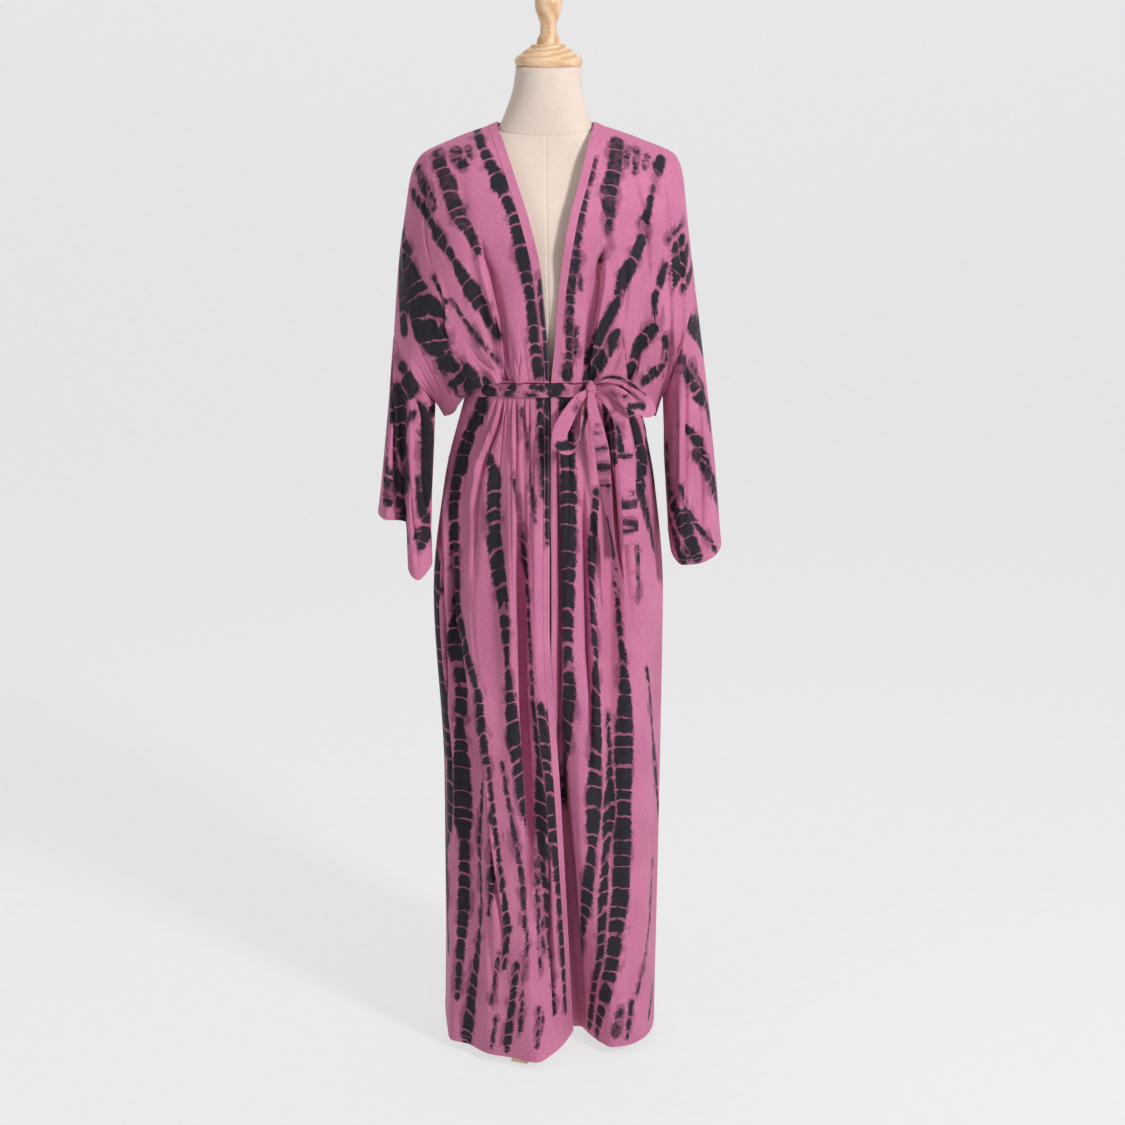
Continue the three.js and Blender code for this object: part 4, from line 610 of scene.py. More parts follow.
# Shares of a panel's height from which its folds show and it settles towards the belt, and the share of its
# width beyond which the folds fade into the armhole
FOLDS_SHOW, SETTLE_FROM, FOLDS_FADE = 0.3, 0.3, 0.86
# The front edge's own curve reaches this far into the panel, and starts this far below the shoulder
BOW_REACH, BOW_FADE, BOW_START = 0.5, 1.5, 0.05
# The back neckline: its share of the back's width, its middle, its roundness and how it blends in
NECK_SHARE, NECK_BACK_Y, NECK_BACK_Z, NECK_ROUND, NECK_BLEND = 0.2, 58, 1400, 0.8, 0.16
# The neck band stands up from the neckline and leans forward
NECK_RISE, NECK_LEAN = 12, 4.2
# Share of the way from the roll to the belt's upper edge at which the cloth is turned under
TURN_ABOVE, TURN_BEFORE, TURN_RISE = 0.6, 0.7, 0.2
# The chest's last row before its roll, and the rows of the strip behind the belt
ABOVE_ROLL, STRIP_ROWS = 0.93, (0.33, 0.67)

# The cloth's own length starts again here at the belt
SKIRT_START = 500
# Stripes and folds of hidden sides. Each has a seed, a range across and along the panel, then a stripe its
# width and lean, and a fold its depth, spacing and lean.
HIDDEN_STRIPES = dict(
    back=[
        (21, (-330, 0), (20, 400), 7.5, 0.25),
        (22, (0, 330), (20, 400), 7.5, -0.25),
        (23, (-345, 345), (SKIRT_START + 8, SKIRT_START + 1010), 7.5, 0.0),
    ],
    sr=[(31, (185, 350), (10, 300), 8, 0.2)],
    sl=[(32, (185, 350), (10, 300), 8, 0.2)],
)
HIDDEN_FOLDS = dict(
    back=[
        (41, (-300, 300), (SKIRT_START + 20, SKIRT_START + 1000), 11, 74, 0.0),
        (42, (-270, -40), (150, 420), 6, 80, -0.2),
        (43, (40, 270), (150, 420), 6, 80, 0.2),
    ],
    fr=[(44, (320, 342), (SKIRT_START + 30, SKIRT_START + 900), 9, 60, 0.0)],
    fl=[(45, (264, 286), (SKIRT_START + 30, SKIRT_START + 900), 9, 60, 0.0)],
)
# Blots of dye on the belt's hidden stretch: places along it, and each blot's points as in STRAP_DYE
BELT_BLOTS = (20, 70, 108, 160, 205, 470, 520, 560, 610, 660, 700)
BLOT = np.array([[-6, 5, 6], [9, -3, 7]])

# The belt: squareness of its section, trim of its height, then its height beside the knot and where that
# is, in degrees
BELT_EDGE, BELT_TRIM, BESIDE_HEIGHT, BESIDE_REACH, BESIDE_POWER = 3.2, 0.6, 11.5, 9.0, 4
BELT_FLAT = 12.5
# Depth and half width of the groove along it, then its ripples and sway: depth, waves round and shift
GROOVE_DEPTH, GROOVE_HALF = 0.55, 0.1
RIPPLE = dict(depth=0.35, waves=23, across=2.4, lean=0.12)
SWAY = ((0.5, 9, 0.6), (0.35, 17, 0))
# The bow's knot, with its folds: depth, waves across and up, and shift
KNOT = dict(x=61, y=-105.5, z=1050, wide=8, deep=8, high=12, turn=26)
KNOT_SHRINK, KNOT_FOLDS = 0.05, ((0.07, 5.5, 3.2, 0), (0.05, -2, 7, 1))
# A strap's section: its squareness, and the square of the share of its half width where its camber is level
STRAP_EDGE, CAMBER_LEVEL = 2.6, 0.4
# Rows, camber, how it is held and what it rests on
STRAPS = dict(
    loop_low=(LOOP_LOW, 0.8, "folded", "cloth_knot"),
    loop_high=(LOOP_HIGH, 0.9, "folded", "cloth_knot"),
    tail_front=(TAIL_FRONT, 0.5, "hung", "cloth_front_left"),
    tail_back=(TAIL_BACK, 0.5, "hung", "cloth_front_left"),
)
# Radius of the form as its cover is laid flat, in metres
FORM_RADIUS = 0.15


def monotone(knots, values, at):
    """Smooth curve through rows of values that never overshoots them. Knots rise along the first axis."""
    knots, values, at = (np.asarray(a, float) for a in (knots, values, at))
    step = np.diff(knots, axis=0)
    slope = np.diff(values, axis=0) / step
    same = slope[:-1] * slope[1:] > 0
    total = np.where(same, slope[:-1] + slope[1:], 1)
    inner = np.where(same, 2 * slope[:-1] * slope[1:] / total, 0)
    tangent = np.concatenate([slope[:1], inner, slope[-1:]])
    at = np.clip(at, knots[0], knots[-1])
    out = np.zeros(np.broadcast(at, values[0]).shape)
    for i in range(len(step)):
        t = (at - knots[i]) / step[i]
        part = (
            values[i] * (2 * t**3 - 3 * t**2 + 1)
            + tangent[i] * step[i] * (t**3 - 2 * t**2 + t)
            + values[i + 1] * (3 * t**2 - 2 * t**3)
            + tangent[i + 1] * step[i] * (t**3 - t**2)
        )
        out = np.where((t > 0) & (t <= 1) if i else t <= 1, part, out)
    return out


def read(rows, key, column, at):
    """One column of a table at values of its key column."""
    order = np.argsort(rows[key])
    return monotone(rows[key][order], rows[column][order], at)


def smooth(x, low, high):
    """A soft step from 0 at the low end to 1 at the high end."""
    t = np.clip((x - low) / (high - low), 0, 1)
    return t * t * (3 - 2 * t)


def mix(a, b, t):
    """The value a share of the way from one to the other."""
    return a + (b - a) * t


def stack(x, y, z):
    """Points from their coordinates."""
    return np.stack(np.broadcast_arrays(x, y, z), -1).astype(float)


def unit(v):
    """Vectors made one long."""
    return v / np.maximum(np.linalg.norm(v, axis=-1, keepdims=True), TINY)


def on_ring(ring, angle, z):
    """A point of an oval ring: angle 0 is the front, 90 degrees the wearer's left."""
    a = np.radians(angle)
    depth = np.where(np.cos(a) > 0, ring["front"], ring["back"])
    half = np.where(np.sin(a) > 0, ring["left"], ring["right"])
    return stack(half * np.sin(a), -depth * np.cos(a), z)


def belt_z(angle):
    """Height of the belt's middle round the waist."""
    return mix(BELT_SIDE_Z, BELT_FRONT_Z, np.maximum(0, np.cos(np.radians(angle))))


def shoulder(side, u):
    """The shoulder seam and its run down over the arm, by share of its length: x (outwards) and z."""
    z = np.linspace(FRONT_EDGE["z"][0], ARMHOLE_TOP[side], SHOULDER_STEPS + 1)
    x = read(DRAPE, "z", side, z)
    length = np.concatenate([[0], np.cumsum(np.hypot(np.diff(x), np.diff(z)))])
    at = np.asarray(u, float) * length[-1]
    return np.interp(at, length, x), np.interp(at, length, z)


def drape_depth(x, z, face):
    """Depth of the draped cloth at a place seen from the front, towards its front or back."""
    half = np.where(x < 0, read(DRAPE, "z", "right", z), read(DRAPE, "z", "left", z))
    share = np.minimum(1, np.abs(x) / half)
    return read(DRAPE, "z", face, z) * np.sqrt(np.maximum(0, 1 - share**DRAPE_POWER))


def fold_depth(folds, x, z):
    """Depth of the folds that rise from the belt."""
    depth = np.zeros(np.broadcast(x, z).shape)
    for foot, head, head_z, deep, wide in zip(*folds.values()):
        up = (z - BELT_FRONT_Z) / (head_z - BELT_FRONT_Z)
        rise = np.clip(up, 0, 1)
        offset = (x - mix(foot, head, rise)) / (wide * mix(FOLD_FOOT, FOLD_HEAD, rise))
        depth += np.where(up < 1, deep * (1 - rise) ** FOLD_FADE * np.exp(-offset * offset), 0)
    return depth


def roll_over(rows, across, angle):
    """Where the cloth rolls over the belt."""
    z = read(rows, "u", "z", across)
    out = read(rows, "u", "out", across)[..., None]
    return mix(on_ring(WAIST, angle, z), on_ring(BLOUSE, angle, z), out)


def front_chest(side, u, w):
    """A front panel's chest: u from the front edge to the armhole, w from the shoulder to the roll."""
    top_x, top_z = shoulder(side, u)
    roll = roll_over(ROLL_FRONT, u, read(SKIRT[side], "u", "angle", u))
    z = mix(top_z, roll[..., 2], w)
    high, low = FRONT_EDGE["z"][0], FRONT_EDGE["z"][-1]
    straight = mix(FRONT_EDGE[side][0], FRONT_EDGE[side][-1], (high - z) / (high - low))
    bow = read(FRONT_EDGE, "z", side, z) - straight
    x = mix(SIGN[side] * top_x, roll[..., 0], w)
    x = x + bow * np.maximum(0, 1 - u / BOW_REACH) ** BOW_FADE * smooth(w, 0, BOW_START)
    away = smooth(w, 0, FOLDS_SHOW) * (1 - smooth(u, FOLDS_FADE, 1))
    y = mix(-drape_depth(x, z, "front"), roll[..., 1], smooth(w, SETTLE_FROM, 1))
    return stack(x, y + fold_depth(CHEST_FOLDS, x, z) * away, z)


def neckline(share, raised):
    """The back neckline from the wearer's right shoulder to the left, at the band's foot or its top."""
    side_u = {s: 0 if raised else BAND_WIDTH / PANEL_WIDTH[s] for s in ("right", "left")}
    ends = {s: shoulder(s, side_u[s]) for s in side_u}
    end_x = np.where(share < 0, ends["right"][0], ends["left"][0])
    end_z = np.where(share < 0, ends["right"][1], ends["left"][1])
    rise, lean = (NECK_RISE, NECK_LEAN) if raised else (0, 0)
    t = np.abs(share)
    quarter = t * np.pi / 2
    y = (NECK_BACK_Y - lean) * np.maximum(np.cos(quarter), 0) ** NECK_ROUND
    return stack(np.sign(share) * end_x * np.sin(quarter), y, mix(NECK_BACK_Z + rise, end_z, t * t))


def back_chest(u, w):
    """The back above the belt: u from the wearer's right armhole, -1, to the left one, 1."""
    across = np.abs(u)
    roll = roll_over(ROLL_BACK, across, read(SKIRT["back"], "u", "angle", u))
    seams = {}
    for s in ("right", "left"):
        edge = BAND_WIDTH / PANEL_WIDTH[s]
        seams[s] = shoulder(s, mix(edge, 1, np.clip((across - NECK_SHARE) / (1 - NECK_SHARE), 0, 1)))
    sign = np.where(u < 0, -1, 1)
    seam_x = np.where(u < 0, seams["right"][0], seams["left"][0])
    seam_z = np.where(u < 0, seams["right"][1], seams["left"][1])
    neck = neckline(np.clip(u / NECK_SHARE, -1, 1), False)
    in_neck = across < NECK_SHARE
    top_x = np.where(in_neck, neck[..., 0], sign * seam_x)
    top_y = np.where(in_neck, neck[..., 1], 0)
    top_z = np.where(in_neck, neck[..., 2], seam_z)
    x, z = mix(top_x, roll[..., 0], w), mix(top_z, roll[..., 2], w)
    reach = NECK_BLEND * np.maximum(0, 1 - across / NECK_SHARE) + TINY
    drape = mix(top_y, drape_depth(x, z, "back"), smooth(w, -TINY, reach))
    away = smooth(w, 0, FOLDS_SHOW) * (1 - smooth(across, FOLDS_FADE, 1))
    y = mix(drape, roll[..., 1], smooth(w, 0, 1)) - fold_depth(BACK_FOLDS, x, z) * away
    return stack(x, y, z)


def tuck(roll, angle):
    """Three rows where the cloth turns under at its roll and in over the belt's upper edge."""
    top = belt_z(angle) + BELT_HEIGHT / 2
    waist = on_ring(WAIST, angle, top)
    outward = unit(waist * [1, 1, 0])

    def beside(z):
        at = waist + outward * BELT_STAND
        at[..., 2] = z
        return at

    lip = top + BELT_LIP
    high = mix(roll, beside(lip), TURN_ABOVE)
    low = mix(roll, beside(top), TURN_BEFORE)
    low[..., 2] = mix(roll[..., 2], top, TURN_RISE)
    first = np.where((roll[..., 2] > lip)[..., None], high, low)
    return [first, beside(lip), waist]


def spline(points, steps):
    """Catmull-Rom through the inner points of a list, the first and last of which only steer it."""
    p = np.array(points)
    out = []
    for a, b, c, d in zip(p[:-3], p[1:-2], p[2:-1], p[3:]):
        for t in np.arange(steps) / steps:
            square = (2 * a - 5 * b + 4 * c - d) * t**2
            cube = (3 * b - a - 3 * c + d) * t**3
            out.append((2 * b + (c - a) * t + square + cube) / 2)
    return out + [p[-2]]


def skirt_fall(rows, u, share):
    """The skirt from the belt's lower edge, share 0, to the hem, share 1."""
    angle = read(rows, "u", "angle", u)
    waist = on_ring(WAIST, angle, belt_z(angle) - BELT_HEIGHT / 2)
    levels = [np.full(u.shape, float(z)) for z in (HEM_Z, KNEE_Z, HIP_Z, HIGH_HIP_Z)]
    levels = np.array(levels + [waist[..., 2]])
    z = mix(waist[..., 2], HEM_Z, share)
    fall = []
    for axis, top in zip("XY", waist[..., :2].T):
        hem, knee, hip = (read(rows, "u", level + axis, u) for level in ("hem", "knee", "hip"))
        fall.append(monotone(levels, np.array([hem, knee, hip, mix(top, hip, HIGH_HIP), top]), z))
    return stack(*fall, z)


def sleeve_ring(rows, turns, level):
    """A ring of the sleeve: its folds read smoothly all the way round."""
    wrapped = {k: np.concatenate([v + d if k == "turn" else v for d in (-1, 0, 1)]) for k, v in rows.items()}
    return stack(*(read(wrapped, "turn", level + c, turns) for c in "XYZ"))


def body_panel(columns, chest, rows):
    """All rows of a body panel: the chest, the turn under its roll, the strip behind the belt, the skirt."""
    upper = chest(columns[None, :], CHEST_SHARES[:, None])
    angle = read(rows, "u", "angle", columns)
    waist_low = on_ring(WAIST, angle, belt_z(angle) - BELT_HEIGHT / 2)
    waist = tuck(upper[-1], angle)
    bends = [chest(columns, np.array(ABOVE_ROLL)), upper[-1], *waist, waist_low]
    turn = spline(bends, TURN_STEPS)[1:]
    strip = [mix(waist[-1], waist_low, t) for t in STRIP_ROWS]
    return np.concatenate([upper, turn, strip, skirt_fall(rows, columns, SKIRT_SHARES[:, None])])


def run_length(grid, axis=0):
    """Length along the cloth from its first row or column, in millimetres."""
    step = np.linalg.norm(np.diff(grid, axis=axis), axis=-1)
    return np.insert(np.cumsum(step, axis=axis), 0, 0, axis=axis)


def cloth_length(grid):
    """Length along a body panel: from the shoulder seam above the belt, and from the belt below it."""
    along = run_length(grid)
    along[-SKIRT_STEPS:] += SKIRT_START - along[-SKIRT_STEPS]
    return along


def facing(grid, closed=False):
    """Unit normals of a grid of points; a closed grid repeats its first column."""
    if closed:
        around = np.concatenate([grid[:, -2:-1], grid, grid[:, 1:2]], axis=1)
        across = np.gradient(around, axis=1)[:, 1:-1]
    else:
        across = np.gradient(grid, axis=1)
    return unit(np.cross(across, np.gradient(grid, axis=0)))


def outward(grid, closed=False):
    """Normals that point away from the upright axis through the panel's own side of the body."""
    n = facing(grid, closed)
    centre = np.array([0, 0, 0]) if not closed else grid.mean(axis=(0, 1))
    away = (grid - centre) * [1, 1, 0]
    return n if np.median(np.sum(n * away, -1)) > 0 else -n


def front_panel(side, u):
    """A front panel at shares of its width: from the front edge, 0, to the side seam, 1."""
    return body_panel(u, lambda across, w: front_chest(side, across, w), SKIRT[side])


def sleeve_panel(side):
    """From the armhole seam to the cuff; column 0 is on top of the arm, the last one repeats it."""
    half = SLEEVE_COLUMNS // 2
    w = np.interp(np.linspace(0, 1, half + 1), np.linspace(0, 1, len(SEAM_ROWS)), SEAM_ROWS)
    front = front_chest(side, np.ones(half + 1), w)
    back = back_chest(np.full(half + 1, float(SIGN[side])), w)
    seam = np.concatenate([front, back[-2::-1]])
    turns = np.linspace(0, 1, len(seam))
    middle = sleeve_ring(SLEEVE[side], turns, "mid")
    cuff = sleeve_ring(SLEEVE[side], turns, "cuff")
    ahead, behind = seam * 2 - middle, cuff * 2 - middle
    return turns, np.array(spline([ahead, seam, middle, cuff, behind], SLEEVE_ROWS // 2))


def seen(grid):
    """Where the photograph shows each point, in its pixels, and how far off the point is."""
    x, y, z = np.moveaxis(grid - np.array(CAMERA_AT), -1, 0)
    tilt = math.radians(CAMERA_TILT)
    away = y * math.cos(tilt) - z * math.sin(tilt)
    up = y * math.sin(tilt) + z * math.cos(tilt)
    middle = FRAME_SIZE / 2
    return middle + CAMERA_FOCAL * x / away, middle - CAMERA_FOCAL * up / away, away


def place_of(view, x, y):
    """Row and column of the nearest point that faces the camera at a pixel."""
    across, down, away = view
    miss = np.hypot(across - x, down - y)
    for reach in SEARCH_REACH:
        near = miss < reach
        if near.any():
            in_front = near & (away < away[near].min() + SKIN_DEPTH)
            return np.unravel_index(np.argmin(np.where(in_front, miss, np.inf)), miss.shape)
    return None


def noted(text, panel):
    """The notes on one panel: the values behind its name, and the rows of numbers."""
    for line in text.replace(",\n", ",").strip().splitlines():
        head, rows = line.split(":")
        name, *values = head.split()
        if name == panel:
            yield [float(v) for v in values], [[float(v) for v in row.split()] for row in rows.split(",")]


def placed(view, along, rows):
    """The rows of a note that lie on the panel, in order down the cloth: grid place and other values."""
    found = []
    for x, y, *values in rows:
        at = place_of(view, x, y)
        if at is not None and (not found or along[at] > along[found[-1][0]] + ROW_STEP):
            found.append((at, values))
    return found


def creases_of(panel, grid, across, along):
    """The creases of one panel: rows of place along, place across, depth, and reach to each side."""
    view = seen(grid)
    found = []
    for _, rows in noted(CREASES, panel):
        table = []
        for at, (deep, left, right) in placed(view, along, rows):
            reach = (right, left) if panel in MIRRORED else (left, right)
            table.append((along[at], across[at], deep, *reach))
        if table:
            found.append(np.array(table))
    for notes in HIDDEN_FOLDS.get(panel, ()):
        found += invented_folds(*notes)
    return found


def invented_folds(seed, across, along, deep, apart, lean):
    """Soft folds for a side that the photograph hides, each unlike the next."""
    random = np.random.default_rng(seed)
    new, count = NEW_FOLD, NEW_FOLD["points"]
    found = []
    place = across[0] + apart * random.uniform(*new["first"])
    while place < across[1]:
        end = along[1] - random.uniform(0, new["early"]) * (along[1] - along[0])
        down = np.linspace(along[0], end, count)
        wander = np.cumsum(random.uniform(-new["wander"], new["wander"], count)) + lean * (down - along[0])
        depth = deep * random.uniform(*new["depth"]) * random.uniform(*new["uneven"], count)
        depth = depth * np.linspace(new["top"], 1, count)
        sides = [np.full(count, random.uniform(*new["reach"])) for _ in (-1, 1)]
        found.append(np.stack([down, place + wander, depth, *sides], -1))
        place += apart * random.uniform(*new["apart"])
    return found


def crease_depth(creases, across, along):
    """How far the creases sink into the cloth. Each one dies away past its own ends."""
    depth = np.zeros(across.shape)
    for rows in creases:
        start, end = rows[0, 0], rows[-1, 0]
        centre, deep, before, after = (np.interp(along, rows[:, 0], column) for column in rows[:, 1:].T)
        past = np.maximum(0, np.maximum(start - along, along - end)) / CREASE_TAIL
        offset = across - centre
        reach = np.where(offset < 0, before, after)
        depth += deep * np.exp(-((offset / reach) ** 2) - past**2)
        # A crisp side has the cloth that laps over it standing proud
        for edge, sign in ((before, -1), (after, 1)):
            crisp = np.clip((CRISP_REACH - edge) / CRISP_FADE, 0, 1)
            beyond = (offset * sign - edge - LIP_PLACE) / LIP_REACH
            depth -= LIP_SHARE * crisp * deep * np.exp(-beyond * beyond - past**2)
    return CREASE_LIMIT * np.tanh(depth / CREASE_LIMIT)


def gather_depth(seed, across, along, belt, length):
    """Small gathers that start at the belt, each with its own place, length, depth and lean."""
    random = np.random.default_rng(seed)
    depth = np.zeros(across.shape)
    low, high = across.min(), across.max()
    place = low + GATHER_SPACING * random.random()
    while place < high:
        reach = length * random.uniform(*GATHER["length"])
        deep, wide, lean = (random.uniform(*GATHER[k]) for k in ("depth", "width", "lean"))
        run = np.abs(along - belt)
        offset = (across - place - lean * run) / (wide * (GATHER_TOP + run / length))
        fade = np.clip(1 - run / reach, 0, 1)
        depth += deep * fade * np.exp(-offset * offset)
        place += GATHER_SPACING * random.uniform(*GATHER["apart"])
    return depth


def clear_of_form(points):
    """Points no nearer to the linen form than a small gap."""
    x, y, z = points[..., 0], points[..., 1], points[..., 2]
    level = {k: read(FORM, "z", k, z) for k in ("centre", "half", "front", "back")}
    depth = np.where(y < 0, level["front"], level["back"]) + FORM_GAP
    aside = x - level["centre"]
    share = (np.abs(aside) / (level["half"] + FORM_GAP)) ** FORM_POWER + (np.abs(y) / depth) ** FORM_POWER
    share = share ** (1 / FORM_POWER)
    inside = (z > FORM["z"][0]) & (z < FORM["z"][-1])
    grow = np.where(inside, np.maximum(1, 1 / np.maximum(share, FORM_LEAST)), 1)
    return stack(level["centre"] + aside * grow, y * grow, z)


def ease(rows):
    """How freely each row of a body panel can move: not at the shoulder seam, nor behind the belt."""
    free = np.zeros(rows)
    at_roll = 1 - ROLL_HOLD * smooth(CHEST_SHARES, ROLL_FROM, 1)
    free[:CHEST_STEPS] = smooth(CHEST_SHARES, 0, SHOULDER_HOLD) * at_roll
    turned_under = rows - CHEST_STEPS - SKIRT_STEPS
    free[CHEST_STEPS:-SKIRT_STEPS] = np.linspace(TURN_EASE, 0, turned_under) ** TURN_FADE
    free[-SKIRT_STEPS:] = smooth(SKIRT_SHARES, 0, BELT_HOLD)
    return free[:, None]


def creased(creases, grid, across, along, gathers=None):
    """A body panel's points with its creases sunk in, and its gathers above and below the belt."""
    depth = crease_depth(creases, across, along)
    if gathers:
        seed, above, below = gathers
        upper = gather_depth(seed, across, along, along[CHEST_STEPS - 1], above)
        lower = gather_depth(seed + 1, across, along, along[-SKIRT_STEPS], below)
        depth[:CHEST_STEPS] += upper[:CHEST_STEPS]
        depth[-SKIRT_STEPS:] += lower[-SKIRT_STEPS:]
    return clear_of_form(grid - outward(grid) * (depth * ease(len(grid)))[..., None])


def through(rows, names, steps):
    """A smooth run through some columns of a table, at even steps of its rows."""
    p = np.stack([rows[n] for n in names], -1)
    p = np.concatenate([2 * p[:1] - p[1:2], p, 2 * p[-1:] - p[-2:-1]])
    return np.array(spline(p, steps))


def strap_frames(rows):
    """Centres, widths, directions across and normals along a strap."""
    centre = through(rows, ("x", "y", "z"), STRAP_STEPS)
    run = unit(np.gradient(centre, axis=0))
    across = through(rows, ("acrossX", "acrossY", "acrossZ"), STRAP_STEPS)
    across = unit(across - run * np.sum(across * run, -1, keepdims=True))
    wide = through(rows, ("wide",), STRAP_STEPS)[:, 0]
    return centre, wide, across, np.cross(run, across)


def powered(wave, power):
    """A wave from -1 to 1 raised to a power, its sign kept."""
    return np.sign(wave) * np.abs(wave) ** power


def flat_section(edge):
    """A flattened round section from -1 to 1 both ways, as pairs across and through."""
    a = np.linspace(0, 2 * np.pi, STRAP_ROUND, endpoint=False)
    return powered(np.cos(a), 2 / edge), powered(np.sin(a), 2 / edge)


def strap_tube(rows, camber):
    """A folded strap as a closed tube: rings of points, with its own pattern coordinates."""
    centre, wide, across, normal = strap_frames(rows)
    s, t = flat_section(STRAP_EDGE)
    half = (wide / 2)[:, None] * s
    lift = STRAP_WALL / 2 * t + camber * (s * s - CAMBER_LEVEL)
    grid = centre[:, None] + across[:, None] * half[..., None] + normal[:, None] * lift[:, None]
    length = run_length(centre[:, None])
    return grid, np.stack(np.broadcast_arrays(half, length), -1) * MM


def belt_tube():
    """The belt's turn round the waist. It gathers to the knot's height beside the knot."""
    angle = np.linspace(-180, 180, BELT_ROUND, endpoint=False)
    turn = np.radians(angle)
    knot_angle = np.degrees(np.arctan2(KNOT["x"] / WAIST["left"], -KNOT["y"] / WAIST["front"]))
    beside = np.exp(-(((angle - knot_angle) / BESIDE_REACH) ** BESIDE_POWER))
    height = mix(BELT_HEIGHT - BELT_TRIM, BESIDE_HEIGHT, beside)
    s, t = flat_section(BELT_EDGE)
    centre = on_ring(WAIST, angle, belt_z(angle))
    out = unit(centre * [1, 1, 0])
    groove = -GROOVE_DEPTH * np.exp(-((s / GROOVE_HALF) ** 2)) * (t > 0)
    lean = s * RIPPLE["across"] + angle[:, None] * RIPPLE["lean"]
    waves = np.sin(turn * RIPPLE["waves"])[:, None] * np.sin(lean)
    lift = BELT_OUT + (BELT_WALL / 2) * t + groove * (1 - beside[:, None]) + RIPPLE["depth"] * waves
    grid = centre[:, None] + out[:, None] * lift[..., None]
    sway = sum(deep * np.sin(turn * count + shift) for deep, count, shift in SWAY)
    grid[..., 2] += s * (height / 2)[:, None] + sway[:, None]
    length = run_length(centre[:, None])
    return grid, np.stack(np.broadcast_arrays(s * BELT_FLAT, length), -1) * MM


def knot_shape():
    """A soft knot: a crowned lump with the strap's turns pressed into it."""
    a = np.linspace(0, 2 * np.pi, KNOT_ROUND, endpoint=False)
    b = np.linspace(-np.pi / 2, np.pi / 2, KNOT_ROWS)[:, None]
    x, y, z = np.cos(b) * np.cos(a), np.cos(b) * np.sin(a), np.sin(b) + 0 * a
    folds = sum(deep * np.sin(across * x + up * z + shift) for deep, across, up, shift in KNOT_FOLDS)
    p = stack(x * KNOT["wide"], y * KNOT["deep"], z * KNOT["high"]) * (1 - KNOT_SHRINK + folds)[..., None]
    sine, cosine = np.sin(np.radians(KNOT["turn"])), np.cos(np.radians(KNOT["turn"]))
    spun = stack(p[..., 0] * cosine - p[..., 1] * sine, p[..., 0] * sine + p[..., 1] * cosine, p[..., 2])
    flat = np.stack(np.broadcast_arrays(a * KNOT["wide"], b * KNOT["high"]), -1) * MM
    return spun + [KNOT[axis] for axis in "xyz"], flat


def form_shape():
    """The linen form, with the seam round its neck and the one down its front pressed in."""
    sides = np.array([-1, 1])[:, None]
    z = np.linspace(FORM["z"][0], FORM["z"][-1], FORM_ROWS)
    z = np.sort(np.append(z, NECK_SEAM["z"] + sides * NECK_SEAM["rows"]))[:, None]
    a = np.linspace(0, 2 * np.pi, FORM_ROUND, endpoint=False)
    a = np.sort(np.append(a, FRONT_SEAM["at"] + sides * FRONT_SEAM["columns"]))
    # The neck seam rises from the front to the back, and the rows beside it rise with it
    rise = NECK_SEAM["rise"] * (1 + np.sin(a))
    level_z = z + rise * (1 - smooth(np.abs(z - NECK_SEAM["z"]), 0, NECK_SEAM["fade"]))
    side, face = powered(np.cos(a), 2 / FORM_POWER), powered(np.sin(a), 2 / FORM_POWER)
    level = {k: read(FORM, "z", k, level_z) for k in ("centre", "half", "front", "back")}
    depth = np.where(np.sin(a) < 0, level["front"], level["back"])
    aside, forward = level["half"] * side, depth * face
    round_neck = np.exp(-(((z - NECK_SEAM["z"]) / FORM_SEAM_REACH) ** 2))
    down_front = np.exp(-((aside / FORM_SEAM_REACH) ** 2)) * (np.sin(a) < 0) * (z < NECK_SEAM["z"])
    sunk = 1 - FORM_SEAM_DEPTH * np.maximum(round_neck, down_front) / np.hypot(aside, forward)
    return stack(level["centre"] + aside * sunk, forward * sunk, level_z), a, z[:, 0]


def turned(profile):
    """A turned solid. Its profile's points are radius and height, rounded a little between."""
    p = np.array(profile, float)
    line = [p[0]]
    for before, here, after in zip(p[:-2], p[1:-1], p[2:]):
        lengths = [np.linalg.norm(end - here) for end in (before, after)]
        reach = min(ROUND_EDGE, ROUND_SHARE * min(lengths))
        start, end = (here + (point - here) / size * reach for point, size in zip((before, after), lengths))
        for t in np.linspace(0, 1, CORNER_STEPS + 1):
            line.append((1 - t) ** 2 * start + 2 * t * (1 - t) * here + t * t * end)
    line = np.array(line + [p[-1]])
    a = np.linspace(0, 2 * np.pi, TURNED_STEPS, endpoint=False)
    return stack(line[:, :1] * np.cos(a), line[:, :1] * np.sin(a), line[:, 1:])


def invented_stripes(seed, across, along, width, lean):
    """Stripes for a side that the photograph hides: unlike each other, and like those in front."""
    random = np.random.default_rng(seed)
    new, length = NEW_STRIPE, along[1] - along[0]
    found = []
    place = across[0] + random.uniform(*new["first"])
    while place < across[1]:
        start = along[0] + random.uniform(0, new["late"]) * length
        end = along[1] - random.uniform(0, new["early"]) * length
        count = max(3, round((end - start) / new["step"]))
        v = np.linspace(start, end, count)
        wander = np.cumsum(random.uniform(-new["wander"], new["wander"], count))
        half = width * random.uniform(*new["width"]) * random.uniform(*new["uneven"], count)
        half[[0, -1]] *= new["ends"]
        strength, ties = random.uniform(*new["strength"]), random.uniform(*new["ties"])
        found.append((strength, ties, v, place + wander + lean * (v - start), half))
        place += random.uniform(*new["apart"])
    return found


def hidden_stripes(panel):
    """Stripes given in the cloth's own millimetres: those of the straps, and the invented ones."""
    found = [(strength, NO_TIES, *np.array(rows).T) for (strength,), rows in noted(STRAP_DYE, panel)]
    for notes in HIDDEN_STRIPES.get(panel, ()):
        found += invented_stripes(*notes)
    if panel == "belt":
        found += [(1, NO_TIES, *(BLOT + [place, 0, 0]).T) for place in BELT_BLOTS]
    return found


